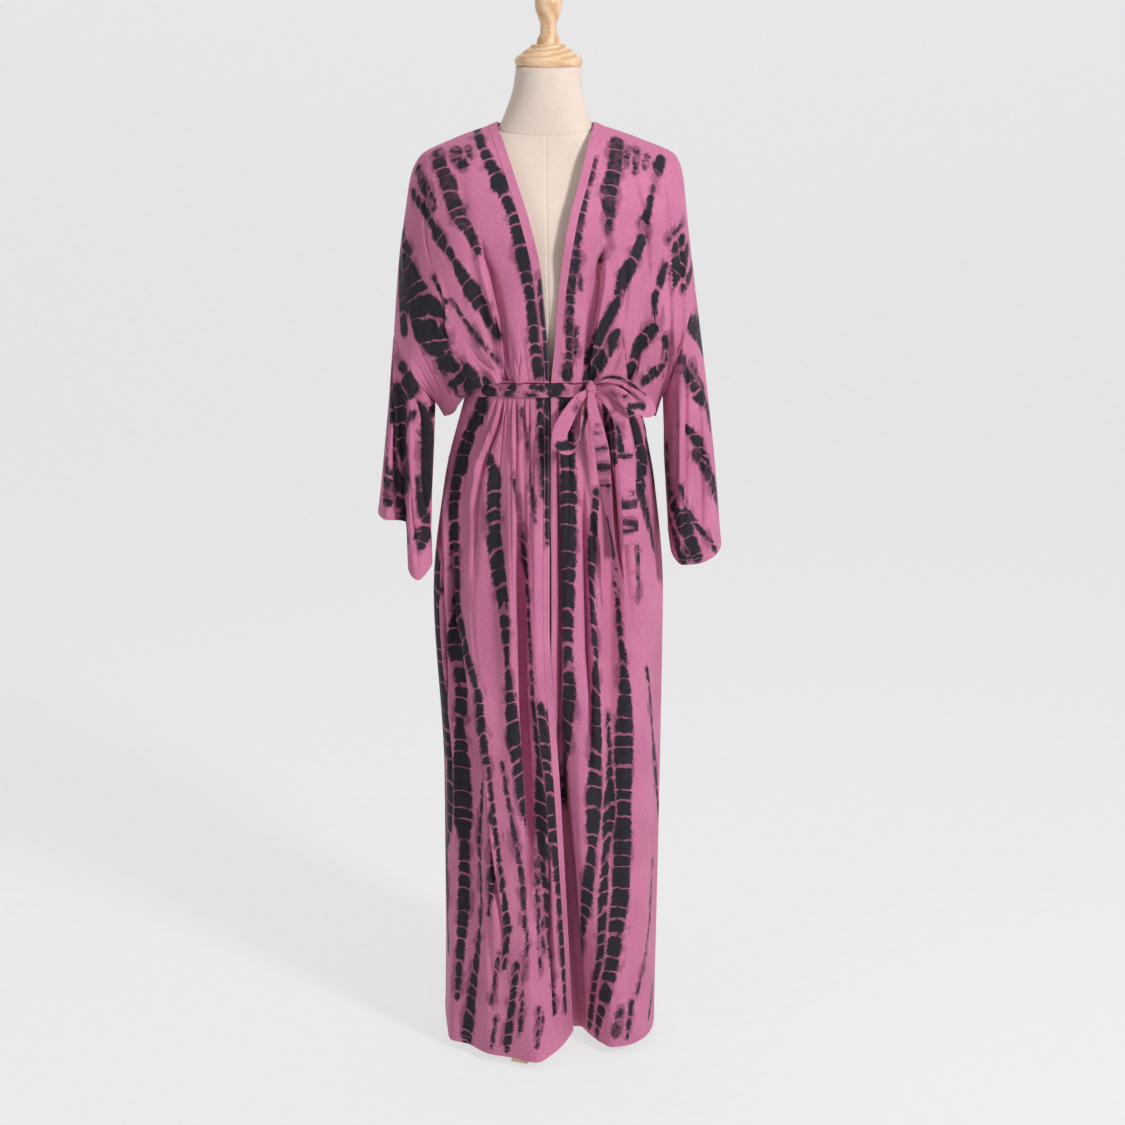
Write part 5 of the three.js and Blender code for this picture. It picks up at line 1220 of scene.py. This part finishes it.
def stripes_on(panel, base, across, along):
    """Every stripe of a panel: strength, spacing of its ties, grid places and half widths."""
    view = seen(base)
    spread = SLEEVE_SPREAD if panel in ("sr", "sl") else DYE_SPREAD
    for (strength, spacing), rows in noted(STRIPES, panel):
        found = placed(view, along, rows)
        if found:
            halves = [max(LEAST_HALF, half * spread) for _, (half,) in found]
            yield strength, spacing * PIXEL, [at for at, _ in found], halves
    for strength, spacing, down, sideways, halves in hidden_stripes(panel):
        places = [
            np.unravel_index(np.argmin((along - v) ** 2 + (across - x) ** 2), along.shape)
            for v, x in zip(down, sideways)
        ]
        yield strength, spacing, places, halves


def dye_field(panel, base, grid, across, along):
    """Distance outside the nearest stripe with the place between its ties, and its strength with a seed."""
    outside = np.full(across.shape, FAR)
    place, strength, seed = np.zeros_like(outside), np.zeros_like(outside), np.zeros_like(outside)
    for number, (strong, spacing, places, halves) in enumerate(stripes_on(panel, base, across, along)):
        points = [grid[at] for at in places]
        if len(points) == 1:
            points, halves = points * 2, list(halves) * 2
        run = 0.0
        for a, b, half_a, half_b in zip(points[:-1], points[1:], halves[:-1], halves[1:]):
            step = b - a
            length = max(np.linalg.norm(step), TINY)
            share = np.clip((grid - a) @ step / length**2, 0, 1)
            off = grid - a - share[..., None] * step
            side = off @ np.cross(step / length, [0.0, -1.0, 0.0])
            half = mix(half_a, half_b, share)
            distance = np.linalg.norm(off, axis=-1) - half
            tied = (run + share * length) / spacing
            uneven = sum(deep * np.sin(tied * waves + number * shift) for deep, waves, shift in TIE_WAVES)
            offset = np.clip(side / half, -TIE_CLIP, TIE_CLIP)
            tied = tied + uneven + TIE_LEAN * math.sin(number * LEAN_STEP) * offset - TIE_BOW * offset**2
            closer = distance < outside
            outside = np.where(closer, distance, outside)
            place = np.where(closer, tied + number * PLACE_STEP, place)
            strength = np.where(closer, strong, strength)
            seed = np.where(closer, number * SEED_STEP, seed)
            run += length
    return np.stack([outside, place], -1), np.stack([strength, seed], -1)


class Surface:
    """One material, its nodes made by short calls."""

    def __init__(self, name, **sockets):
        self.material = bpy.data.materials.new(name)
        self.material.use_nodes = True
        self.tree = self.material.node_tree
        self.shader = self.tree.nodes["Principled BSDF"]
        for socket, value in sockets.items():
            self.shader.inputs[socket.replace("_", " ")].default_value = value

    def node(self, kind, inputs=(), out=0, **settings):
        made = self.tree.nodes.new("ShaderNode" + kind)
        for key, value in settings.items():
            setattr(made, key, value)
        for key, value in dict(inputs).items():
            if isinstance(value, bpy.types.NodeSocket):
                self.tree.links.new(value, made.inputs[key])
            else:
                made.inputs[key].default_value = value
        return made.outputs[out]

    def math(self, operation, a, b=0.0, c=0.0):
        return self.node("Math", {0: a, 1: b, 2: c}, operation=operation)

    def uv(self, name):
        return self.node("UVMap", uv_map=name)

    def split(self, vector):
        node = self.tree.nodes.new("ShaderNodeSeparateXYZ")
        self.tree.links.new(vector, node.inputs[0])
        return node.outputs

    def scaled(self, vector, *scale):
        return self.node("Mapping", {"Vector": vector, "Scale": scale})

    def noise(self, vector, scale=1.0, detail=2.0, roughness=0.5):
        inputs = {"Vector": vector, "Scale": scale, "Detail": detail, "Roughness": roughness}
        return self.node("TexNoise", inputs)

    def ramp(self, value, low, high, start=0.0, end=1.0):
        inputs = {0: value, 1: low, 2: high, 3: start, 4: end}
        return self.node("MapRange", inputs, interpolation_type="SMOOTHSTEP")

    def blend(self, factor, a, b):
        return self.node("Mix", {0: factor, 6: a, 7: b}, out=2, data_type="RGBA")

    def part(self, value, share):
        return self.math("MULTIPLY", value, share)

    def centred(self, value):
        return self.math("SUBTRACT", value, 0.5)

    def bump(self, height, strength, distance, normal=None):
        inputs = {"Strength": strength, "Distance": distance, "Height": height}
        if normal is not None:
            inputs["Normal"] = normal
        return self.node("Bump", inputs)

    def finish(self, **sockets):
        for socket, value in sockets.items():
            self.tree.links.new(value, self.shader.inputs[socket.replace("_", " ")])
        return self.material


def linear(rgb):
    """A screen colour of 0 to 255 as linear light."""
    return tuple(((c / 255 + 0.055) / 1.055) ** 2.4 if c > 10 else c / 3294 for c in rgb) + (1.0,)


def ties(s, moved, place):
    """How far between two ties the cloth is: 1 at a tie, where a thin line stays undyed, 0 half way."""
    shift = s.part(s.centred(s.noise(moved, scale=42.0, detail=1.0)), 0.3)
    since = s.math("FRACT", s.math("ADD", place, shift))
    return s.math("ABSOLUTE", s.math("MULTIPLY_ADD", since, 2.0, -1.0))


def dyed_cloth():
    """Soft viscose weave, mauve pink with stripes tied and dyed dark."""
    sheen = dict(Sheen_Weight=0.12, Sheen_Roughness=0.4)
    s = Surface("dyed_cloth", Roughness=0.82, Specular_IOR_Level=0.22, **sheen)
    flat = s.uv("flat")
    outside, place, _ = s.split(s.uv("dye"))
    strength, seed, _ = s.split(s.uv("tone"))
    moved = s.node("VectorMath", {0: flat, 1: s.node("CombineXYZ", {2: seed})})
    # The dye's edge wanders, and feathers out along the weft: by millimetres
    wander = s.centred(s.noise(moved, scale=90.0, detail=3.0, roughness=0.6))
    feather = s.centred(s.noise(s.scaled(flat, 150.0, 620.0, 1.0), detail=3.0, roughness=0.65))
    edge = s.math("MULTIPLY_ADD", feather, 11.0, s.math("MULTIPLY_ADD", wander, 8.0, outside))
    # Thin undyed lines where each tie was wound, with rounded blocks between them
    between = ties(s, moved, place)
    rounded = s.part(s.math("POWER", between, 6.0), 4.4)
    gap = s.ramp(s.noise(moved, scale=7.0, detail=1.0), low=0.36, high=0.62, start=0.0, end=0.11)
    dye = s.ramp(s.math("ADD", edge, rounded), low=2.4, high=-1.3)
    line = s.ramp(s.math("ADD", between, gap), low=0.9, high=0.975)
    kept = s.ramp(s.noise(moved, scale=62.0, detail=1.0), low=0.34, high=0.5, start=0.2, end=1.0)
    dye = s.part(dye, s.math("SUBTRACT", 1.0, s.part(line, kept)))
    # Weak dye is cloudy
    cloud = s.ramp(s.noise(moved, scale=60.0, detail=3.0, roughness=0.6), low=0.42, high=0.66)
    faded = s.part(s.part(cloud, s.math("SUBTRACT", 1.02, strength)), 1.7)
    dye = s.node("Clamp", {"Value": s.part(dye, s.math("SUBTRACT", 1.0, faded))})
    # A thin stain spreads past the dye, wider in some places
    spread = s.ramp(s.noise(moved, scale=24.0), low=0.4, high=0.7, start=5.0, end=-7.0)
    halo = s.part(s.ramp(s.math("ADD", edge, spread), low=7.0, high=-1.0), 0.62)
    slub = s.noise(s.scaled(flat, 160.0, 1100.0, 1.0), detail=3.0, roughness=0.6)
    warp = s.noise(s.scaled(flat, 1300.0, 240.0, 1.0), roughness=0.6)
    mottle = s.noise(flat, scale=9.0, detail=3.0)
    pink = s.blend(s.ramp(mottle, low=0.3, high=0.7), linear(PINK_LOW), linear(PINK_HIGH))
    pink = s.blend(s.part(s.ramp(slub, low=0.42, high=0.64), 0.5), pink, linear(PINK_SLUB))
    pink = s.blend(s.part(s.ramp(warp, low=0.45, high=0.7), 0.3), pink, linear(PINK_WARP))
    pink = s.blend(halo, pink, linear(HALO))
    dark = s.blend(s.ramp(slub, low=0.3, high=0.7), linear(DARK_LOW), linear(DARK_HIGH))
    crumple = s.noise(s.scaled(flat, 34.0, 18.0, 1.0), detail=3.0, roughness=0.6)
    crumple = s.bump(crumple, strength=0.6, distance=0.003)
    weave = s.math("MULTIPLY_ADD", slub, 0.8, warp)
    normal = s.bump(weave, strength=0.35, distance=0.0005, normal=crumple)
    return s.finish(Base_Color=s.blend(dye, pink, dark), Normal=normal)


def linen():
    """Plain linen, a little soiled, with slubs both ways."""
    s = Surface("linen", Roughness=0.9, Sheen_Weight=0.15, Specular_IOR_Level=0.2)
    at = s.node("TexCoord", out=3)
    warp = s.noise(s.scaled(at, 900.0, 900.0, 90.0), roughness=0.6)
    weft = s.noise(s.scaled(at, 90.0, 90.0, 900.0), roughness=0.6)
    slub = s.part(s.math("ADD", warp, weft), 0.5)
    soil = s.ramp(s.noise(at, scale=7.0, detail=3.0), low=0.3, high=0.7)
    base = s.blend(soil, linear(LINEN_LOW), linear(LINEN_HIGH))
    base = s.blend(s.part(s.ramp(slub, low=0.4, high=0.62), 0.4), base, linear(LINEN_SLUB))
    return s.finish(Base_Color=base, Normal=s.bump(slub, strength=0.4, distance=0.0006))


def wood():
    """Pale turned wood with warped rings and pores, under a satin coat."""
    s = Surface("wood", Roughness=0.42, Coat_Weight=0.25, Coat_Roughness=0.3)
    at = s.node("TexCoord", out=3)
    bend = s.node("TexNoise", {"Vector": at, "Scale": 6.0}, out=1)
    warped = s.node("VectorMath", {0: at, 1: s.node("VectorMath", {0: bend, 3: 0.012}, operation="SCALE")})
    rings = {"Vector": s.scaled(warped, 34.0, 34.0, 5.0), "Scale": 1.0}
    rings.update({"Distortion": 3.0, "Detail": 2.0, "Detail Scale": 1.2})
    rings = s.node("TexWave", rings, out=1, wave_type="RINGS", rings_direction="Z")
    pores = s.noise(s.scaled(at, 500.0, 500.0, 60.0))
    base = s.blend(rings, linear(WOOD_LOW), linear(WOOD_HIGH))
    base = s.blend(s.part(s.ramp(pores, low=0.52, high=0.72), 0.35), base, linear(WOOD_PORE))
    rough = s.ramp(rings, low=0.0, high=1.0, start=0.38, end=0.5)
    return s.finish(Base_Color=base, Roughness=rough, Normal=s.bump(pores, strength=0.15, distance=0.0004))


def thread():
    """Sewing thread, a little paler than the cloth."""
    s = Surface("thread", Roughness=0.7, Sheen_Weight=0.2)
    ply = s.noise(s.node("TexCoord", out=3), scale=1200.0, detail=1.0)
    base = s.blend(s.ramp(ply, low=0.3, high=0.7), linear(THREAD_LOW), linear(THREAD_HIGH))
    return s.finish(Base_Color=base, Normal=s.bump(ply, strength=0.3, distance=0.0002))


def studio_grey():
    """A pale floor that glows a little, so that no hard shadow lies on it."""
    s = Surface("studio_grey", Roughness=0.95, Specular_IOR_Level=0.05, Emission_Strength=STAGE_GLOW)
    speck = s.noise(s.node("TexCoord", out=3), scale=40.0, detail=3.0)
    glow = s.blend(speck, linear(GLOW_LOW), linear(GLOW_HIGH))
    return s.finish(Base_Color=s.blend(speck, linear(STAGE_LOW), linear(STAGE_HIGH)), Emission_Color=glow)


def make_mesh(name, points, faces, layers, material, rim=None):
    """A mesh object from points in millimetres, with pattern coordinates. Edges along a rim are sharp."""
    mesh = bpy.data.meshes.new(name)
    mesh.from_pydata((points * MM).tolist(), [], faces)
    corner = np.empty(len(mesh.loops), np.int32)
    mesh.loops.foreach_get("vertex_index", corner)
    for layer, values in layers.items():
        uv = mesh.uv_layers.new(name=layer)
        uv.data.foreach_set("uv", values[corner].astype(np.float32).ravel())
    mesh.polygons.foreach_set("use_smooth", np.ones(len(mesh.polygons), bool))
    if rim is not None:
        ends = np.empty(len(mesh.edges) * 2, np.int32)
        mesh.edges.foreach_get("vertices", ends)
        sharp = mesh.attributes.get("sharp_edge") or mesh.attributes.new("sharp_edge", "BOOLEAN", "EDGE")
        sharp.data.foreach_set("value", rim[ends.reshape(-1, 2)].all(1))
    mesh.materials.append(material)
    mesh.validate()
    mesh.update()
    made = bpy.data.objects.new(name, mesh)
    bpy.context.scene.collection.objects.link(made)
    return made


def quads(rows, columns, wrap=False):
    """The faces between the rows of a grid; a wrapped grid's last column meets its first."""
    r, c = np.meshgrid(np.arange(rows - 1), np.arange(columns if wrap else columns - 1), indexing="ij")
    d = (c + 1) % columns
    corners = [r * columns + c, (r + 1) * columns + c, (r + 1) * columns + d, r * columns + d]
    return np.stack([v.ravel() for v in corners], -1)


def sheet_mesh(name, grid, normals, thick, layers, closed=False):
    """A thin cloth wall over a grid of points; a closed grid's last column repeats its first."""
    thick = np.broadcast_to(thick, grid.shape[:2])[..., None]
    if closed:
        grid, normals, thick = grid[:, :-1], normals[:, :-1], thick[:, :-1]
        layers = {k: v[:, :-1] for k, v in layers.items()}
    rows, columns = grid.shape[:2]
    points = np.concatenate([(grid + side * normals * thick / 2).reshape(-1, 3) for side in (1, -1)])
    count = rows * columns
    outer = quads(rows, columns, closed)
    faces = [outer, outer[:, ::-1] + count]
    index = np.arange(count).reshape(rows, columns)
    if closed:
        borders = [np.append(index[0], index[0, 0]), np.append(index[-1, ::-1], index[-1, -1])]
    else:
        borders = [np.concatenate([index[0], index[1:, -1], index[-1, -2::-1], index[-2::-1, 0]])]
    for ring in borders:
        a, b = ring[:-1], ring[1:]
        faces.append(np.stack([a, b, b + count, a + count], -1))
    rim = np.zeros(count, bool)
    rim[np.concatenate(borders)] = True
    layers = {k: np.concatenate([v.reshape(-1, 2)] * 2) for k, v in layers.items()}
    return make_mesh(name, points, np.concatenate(faces).tolist(), layers, CLOTH, np.tile(rim, 2))


def tube_mesh(name, grid, layers, material, around=False):
    """A closed solid through rings of points, joined into a loop or with its ends closed by a point."""
    rows, columns = grid.shape[:2]
    points = grid.reshape(-1, 3)
    tables = {k: v.reshape(-1, 2) for k, v in layers.items()}
    faces = quads(rows, columns, True).tolist()
    here = np.arange(columns)
    after = (here + 1) % columns
    last = (rows - 1) * columns
    if around:
        faces += np.stack([last + here, here, after, last + after], -1).tolist()
        return make_mesh(name, points, faces, tables, material)
    top, low = np.full(columns, len(points)), np.full(columns, len(points) + 1)
    faces += np.stack([here, after, top], -1).tolist()
    faces += np.stack([last + after, last + here, low], -1).tolist()
    points = np.concatenate([points, grid[[0, -1]].mean(1)])
    tables = {k: np.concatenate([tables[k], v[[0, -1]].mean(1)]) for k, v in layers.items()}
    return make_mesh(name, points, faces, tables, material)


def settle(piece, node):
    """Puts a piece on the one body, in place of its CAD node."""
    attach(piece, "root")
    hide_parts(node)
    return piece


def cloth_layers(panel, base, grid, across, along):
    """Pattern coordinates of a piece of cloth: its flat place and its dye. The base has no creases yet."""
    dye, tone = dye_field(panel, base, grid, across, along)
    flat = np.stack(np.broadcast_arrays(across, along), -1) * MM
    return {"flat": flat, "dye": dye, "tone": tone}


CLOTH, LINEN, WOOD, THREAD = dyed_cloth(), linen(), wood(), thread()


def hem_thickness(along, turned_up):
    """Cloth is doubled where its hem is turned up."""
    start = along[-1:] - turned_up
    return PLY + HEM_SHARE * PLY * smooth(along, start, start + HEM_STEP)


def stitch_line(name, path, normals, lift):
    """A run of stitches: short dashes of thread, raised in the middle, their ends in the cloth."""
    length = run_length(path[:, None])[:, 0]
    start = np.arange(STITCH_STEP, length[-1] - STITCH_STEP, STITCH_STEP)

    def at(values, place):
        return np.stack([np.interp(place, length, values[:, i]) for i in range(3)], -1)

    out = unit(at(normals, start + STITCH_LONG / 2))
    run = unit(at(path, start + STITCH_LONG) - at(path, start))
    side = np.cross(run, out)
    rings, corners = [], ((-1, -1), (1, -1), (1, 1), (-1, 1))
    for share, size in STITCH_PROFILE:
        centre = at(path, start + STITCH_LONG * share) + out * (lift + STITCH_THICK * (size - STITCH_SUNK))
        rings += [centre + (side * a + out * b) * STITCH_THICK * size / 2 for a, b in corners]
    points = np.stack(rings, 1)
    ring = np.array([[0, 1, 5, 4], [1, 2, 6, 5], [2, 3, 7, 6], [3, 0, 4, 7]])
    shape = np.concatenate([ring, ring + 4, [[3, 2, 1, 0], [8, 9, 10, 11]]])
    faces = (shape + points.shape[1] * np.arange(len(start))[:, None, None]).reshape(-1, 4)
    points = points.reshape(-1, 3)
    piece = make_mesh(name, points, faces.tolist(), {"flat": points[:, [0, 2]] * MM}, THREAD)
    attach(piece, "root")


def sew_hem(name, grid, normals, along, height):
    """Stitches along the row of a panel that lies a height above its last one."""
    row = np.argmax(along > along[-1] - height)
    stitch_line(name, grid[row], normals[row], HEM_LIFT)


def build_fronts():
    """The two fronts, each with its band."""
    for side in ("right", "left"):
        panel, width = "f" + side[0], PANEL_WIDTH[side]
        u = np.linspace(BAND_WIDTH / width, 1, FRONT_COLUMNS)
        base = front_panel(side, u)
        along = cloth_length(base)
        across = np.broadcast_to(u * width, along.shape)
        creases = creases_of(panel, base, across, along)
        grid = creased(creases, base, across, along, GATHERS[side])
        seam = ARMHOLE_GROOVE * np.exp(-(((width - across) / SEAM_REACH) ** 2))
        above = (np.arange(len(grid)) < ARMHOLE_SHARE * CHEST_STEPS)[:, None]
        grid = grid - outward(grid) * (seam * above)[..., None]
        normals = outward(grid)
        layers = cloth_layers(panel, base, grid, across, along)
        thick = hem_thickness(along, HEM_TURNED)
        piece = sheet_mesh(f"cloth_front_{side}", grid, normals, thick, layers)
        settle(piece, f"front_{side}")
        sew_hem(f"stitches_hem_{side}", grid, normals, along[:, 0], HEM_STITCH)
        build_band(side, creases)


def build_band(side, creases):
    """The narrow band down a front edge, with a row of stitches near each of its sides."""
    u = np.linspace(0, BAND_WIDTH / PANEL_WIDTH[side], BAND_COLUMNS)
    base = front_panel(side, u)
    along = cloth_length(base)
    across = np.broadcast_to(u * PANEL_WIDTH[side], along.shape)
    grid = creased(creases, base, across, along)
    normals = outward(grid)
    layers = cloth_layers("fb" + side[0], base, grid, across, along)
    piece = sheet_mesh(f"cloth_band_{side}", grid, normals, BAND_PLY, layers)
    settle(piece, f"front_band_{side}")
    chest = slice(STITCH_ENDS, CHEST_STEPS)
    skirt = slice(len(grid) - SKIRT_STEPS + STITCH_ENDS, -STITCH_ENDS)
    for part, rows in (("chest", chest), ("skirt", skirt)):
        for edge, column in BAND_STITCHES.items():
            name = f"stitches_{part}_{edge}_{side}"
            stitch_line(name, grid[rows, column], normals[rows, column], BAND_PLY / 2)


def build_back():
    """The back, down from the shoulder seams."""
    u = np.linspace(-1, 1, BACK_COLUMNS)
    base = body_panel(u, back_chest, SKIRT["back"])
    along = cloth_length(base)
    across = np.broadcast_to(u * PANEL_WIDTH["back"], along.shape)
    grid = creased(creases_of("back", base, across, along), base, across, along, GATHERS["back"])
    normals = outward(grid)
    layers = cloth_layers("back", base, grid, across, along)
    piece = sheet_mesh("cloth_back", grid, normals, hem_thickness(along, HEM_TURNED), layers)
    settle(piece, "back")
    sew_hem("stitches_hem_back", grid, normals, along[:, 0], HEM_STITCH)


def build_neck_band():
    """The band round the back of the neck, from one shoulder seam to the other."""
    share = np.linspace(-1, 1, NECK_COLUMNS)
    t = np.linspace(0, 1, BAND_COLUMNS)[:, None]
    grid = mix(neckline(share, True)[None], neckline(share, False)[None], t[..., None])
    along = run_length(grid, 1)
    layers = cloth_layers("neck", grid, grid, np.broadcast_to(t * BAND_WIDTH, along.shape), along)
    normals = outward(grid)
    piece = sheet_mesh("cloth_neck_band", grid, normals, BAND_PLY, layers)
    settle(piece, "neck_band")
    ends = slice(STITCH_ENDS, -STITCH_ENDS)
    for edge, row in BAND_STITCHES.items():
        stitch_line(f"stitches_neck_{edge}", grid[row, ends], normals[row, ends], BAND_PLY / 2)


def build_sleeves():
    """The two sleeves, set into the armholes and open at the cuff."""
    for side in ("right", "left"):
        panel = "s" + side[0]
        turns, base = sleeve_panel(side)
        along = run_length(base)
        across = np.broadcast_to(turns * SLEEVE_TURN, along.shape)
        free = smooth(np.linspace(0, 1, len(base)), 0, SLEEVE_HOLD)[:, None]
        depth = crease_depth(creases_of(panel, base, across, along), across, along) * free
        seam = ARMHOLE_GROOVE * np.exp(-((along / SEAM_REACH) ** 2))
        grid = base - outward(base, True) * (depth + seam)[..., None]
        normals = outward(grid, True)
        layers = cloth_layers(panel, base, grid, across, along)
        thick = hem_thickness(along, CUFF_TURNED)
        piece = sheet_mesh(f"cloth_sleeve_{side}", grid, normals, thick, layers, closed=True)
        settle(piece, f"sleeve_{side}")
        sew_hem(f"stitches_cuff_{side}", grid, normals, np.median(along, 1), CUFF_STITCH)


def strap_layers(panel, grid, flat):
    """Pattern coordinates of the belt's pieces, from their own flat ones."""
    return cloth_layers(panel, grid, grid, flat[..., 0] / MM, flat[..., 1] / MM)


def build_belt():
    """The belt's turn round the waist, its knot, and the loops and ends of the bow."""
    grid, flat = belt_tube()
    piece = tube_mesh("cloth_belt", grid, strap_layers("belt", grid, flat), CLOTH, around=True)
    settle(piece, "belt")
    grid, flat = knot_shape()
    settle(tube_mesh("cloth_knot", grid, strap_layers("knot", grid, flat), CLOTH), "belt_knot")
    for name, (rows, camber, held, below) in STRAPS.items():
        grid, flat = strap_tube(rows, camber)
        piece = tube_mesh("cloth_" + name, grid, strap_layers(name, grid, flat), CLOTH)
        settle(piece, "belt_" + name)
        size = (float(np.mean(rows["wide"])) * MM, float(flat[..., 1].max()))


def build_form():
    """The linen form, its turned cap and post, and the look of the feet."""
    grid, a, z = form_shape()
    flat = np.stack(np.broadcast_arrays(a * FORM_RADIUS, (z * MM)[:, None]), -1)
    settle(tube_mesh("linen_form", grid, {"flat": flat}, LINEN), "dress_form")
    for name, profile in (("neck_cap", CAP_PROFILE), ("post", POST_PROFILE)):
        grid = turned(profile)
        flat = np.zeros(grid.shape[:2] + (2,))
        settle(tube_mesh("wood_" + name, grid, {"flat": flat}, WOOD), name)
    for name in ("leg_front", "leg_left", "leg_right"):
        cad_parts[name].data.materials.clear()
        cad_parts[name].data.materials.append(WOOD)


def build_stage():
    """A pale floor that curves up into a backdrop, soft lamps and the camera."""
    half, radius = STAGE["half"], STAGE["radius"]
    bend = STAGE["back"] - radius
    line = [(STAGE["front"], 0.0), (bend, 0.0)]
    for a in np.linspace(0, math.pi / 2, STAGE["bends"])[1:]:
        line.append((bend + radius * math.sin(a), radius - radius * math.cos(a)))
    line.append((STAGE["back"], STAGE["rise"]))
    points = [(x, y, z - STAGE["below"]) for y, z in line for x in (-half, half)]
    faces = [(2 * i, 2 * i + 1, 2 * i + 3, 2 * i + 2) for i in range(len(line) - 1)]
    mesh = bpy.data.meshes.new("studio_floor")
    mesh.from_pydata(points, [], faces)
    mesh.polygons.foreach_set("use_smooth", [True] * len(faces))
    mesh.materials.append(studio_grey())
    floor = bpy.data.objects.new("studio_floor", mesh)
    bpy.context.scene.collection.objects.link(floor)
    world = bpy.data.worlds.new("studio")
    bpy.context.scene.world = world
    world.use_nodes = True
    world.node_tree.nodes["Background"].inputs[0].default_value = (1, 1, 1, 1)
    world.node_tree.nodes["Background"].inputs[1].default_value = WORLD_LIGHT
    for name, spot, aim, size, watts in LAMPS:
        lamp = bpy.data.lights.new(name, "AREA")
        lamp.shape, lamp.size, lamp.energy = "DISK", size, watts
        light = bpy.data.objects.new(name, lamp)
        light.location = spot
        light.rotation_euler = (Vector(aim) - Vector(spot)).to_track_quat("-Z", "Y").to_euler()
        bpy.context.scene.collection.objects.link(light)
    camera = bpy.data.cameras.new("camera")
    camera.lens, camera.sensor_width = CAMERA_FOCAL / FRAME_SIZE * SENSOR, SENSOR
    shot = bpy.data.objects.new("camera", camera)
    shot.location = Vector(CAMERA_AT) * MM
    shot.rotation_euler = (math.radians(90 - CAMERA_TILT), 0, 0)
    bpy.context.scene.collection.objects.link(shot)
    bpy.context.scene.camera = shot
    bpy.context.scene.view_settings.view_transform = "Standard"


build_stage()
build_form()
build_fronts()
build_back()
build_neck_band()
build_sleeves()
build_belt()
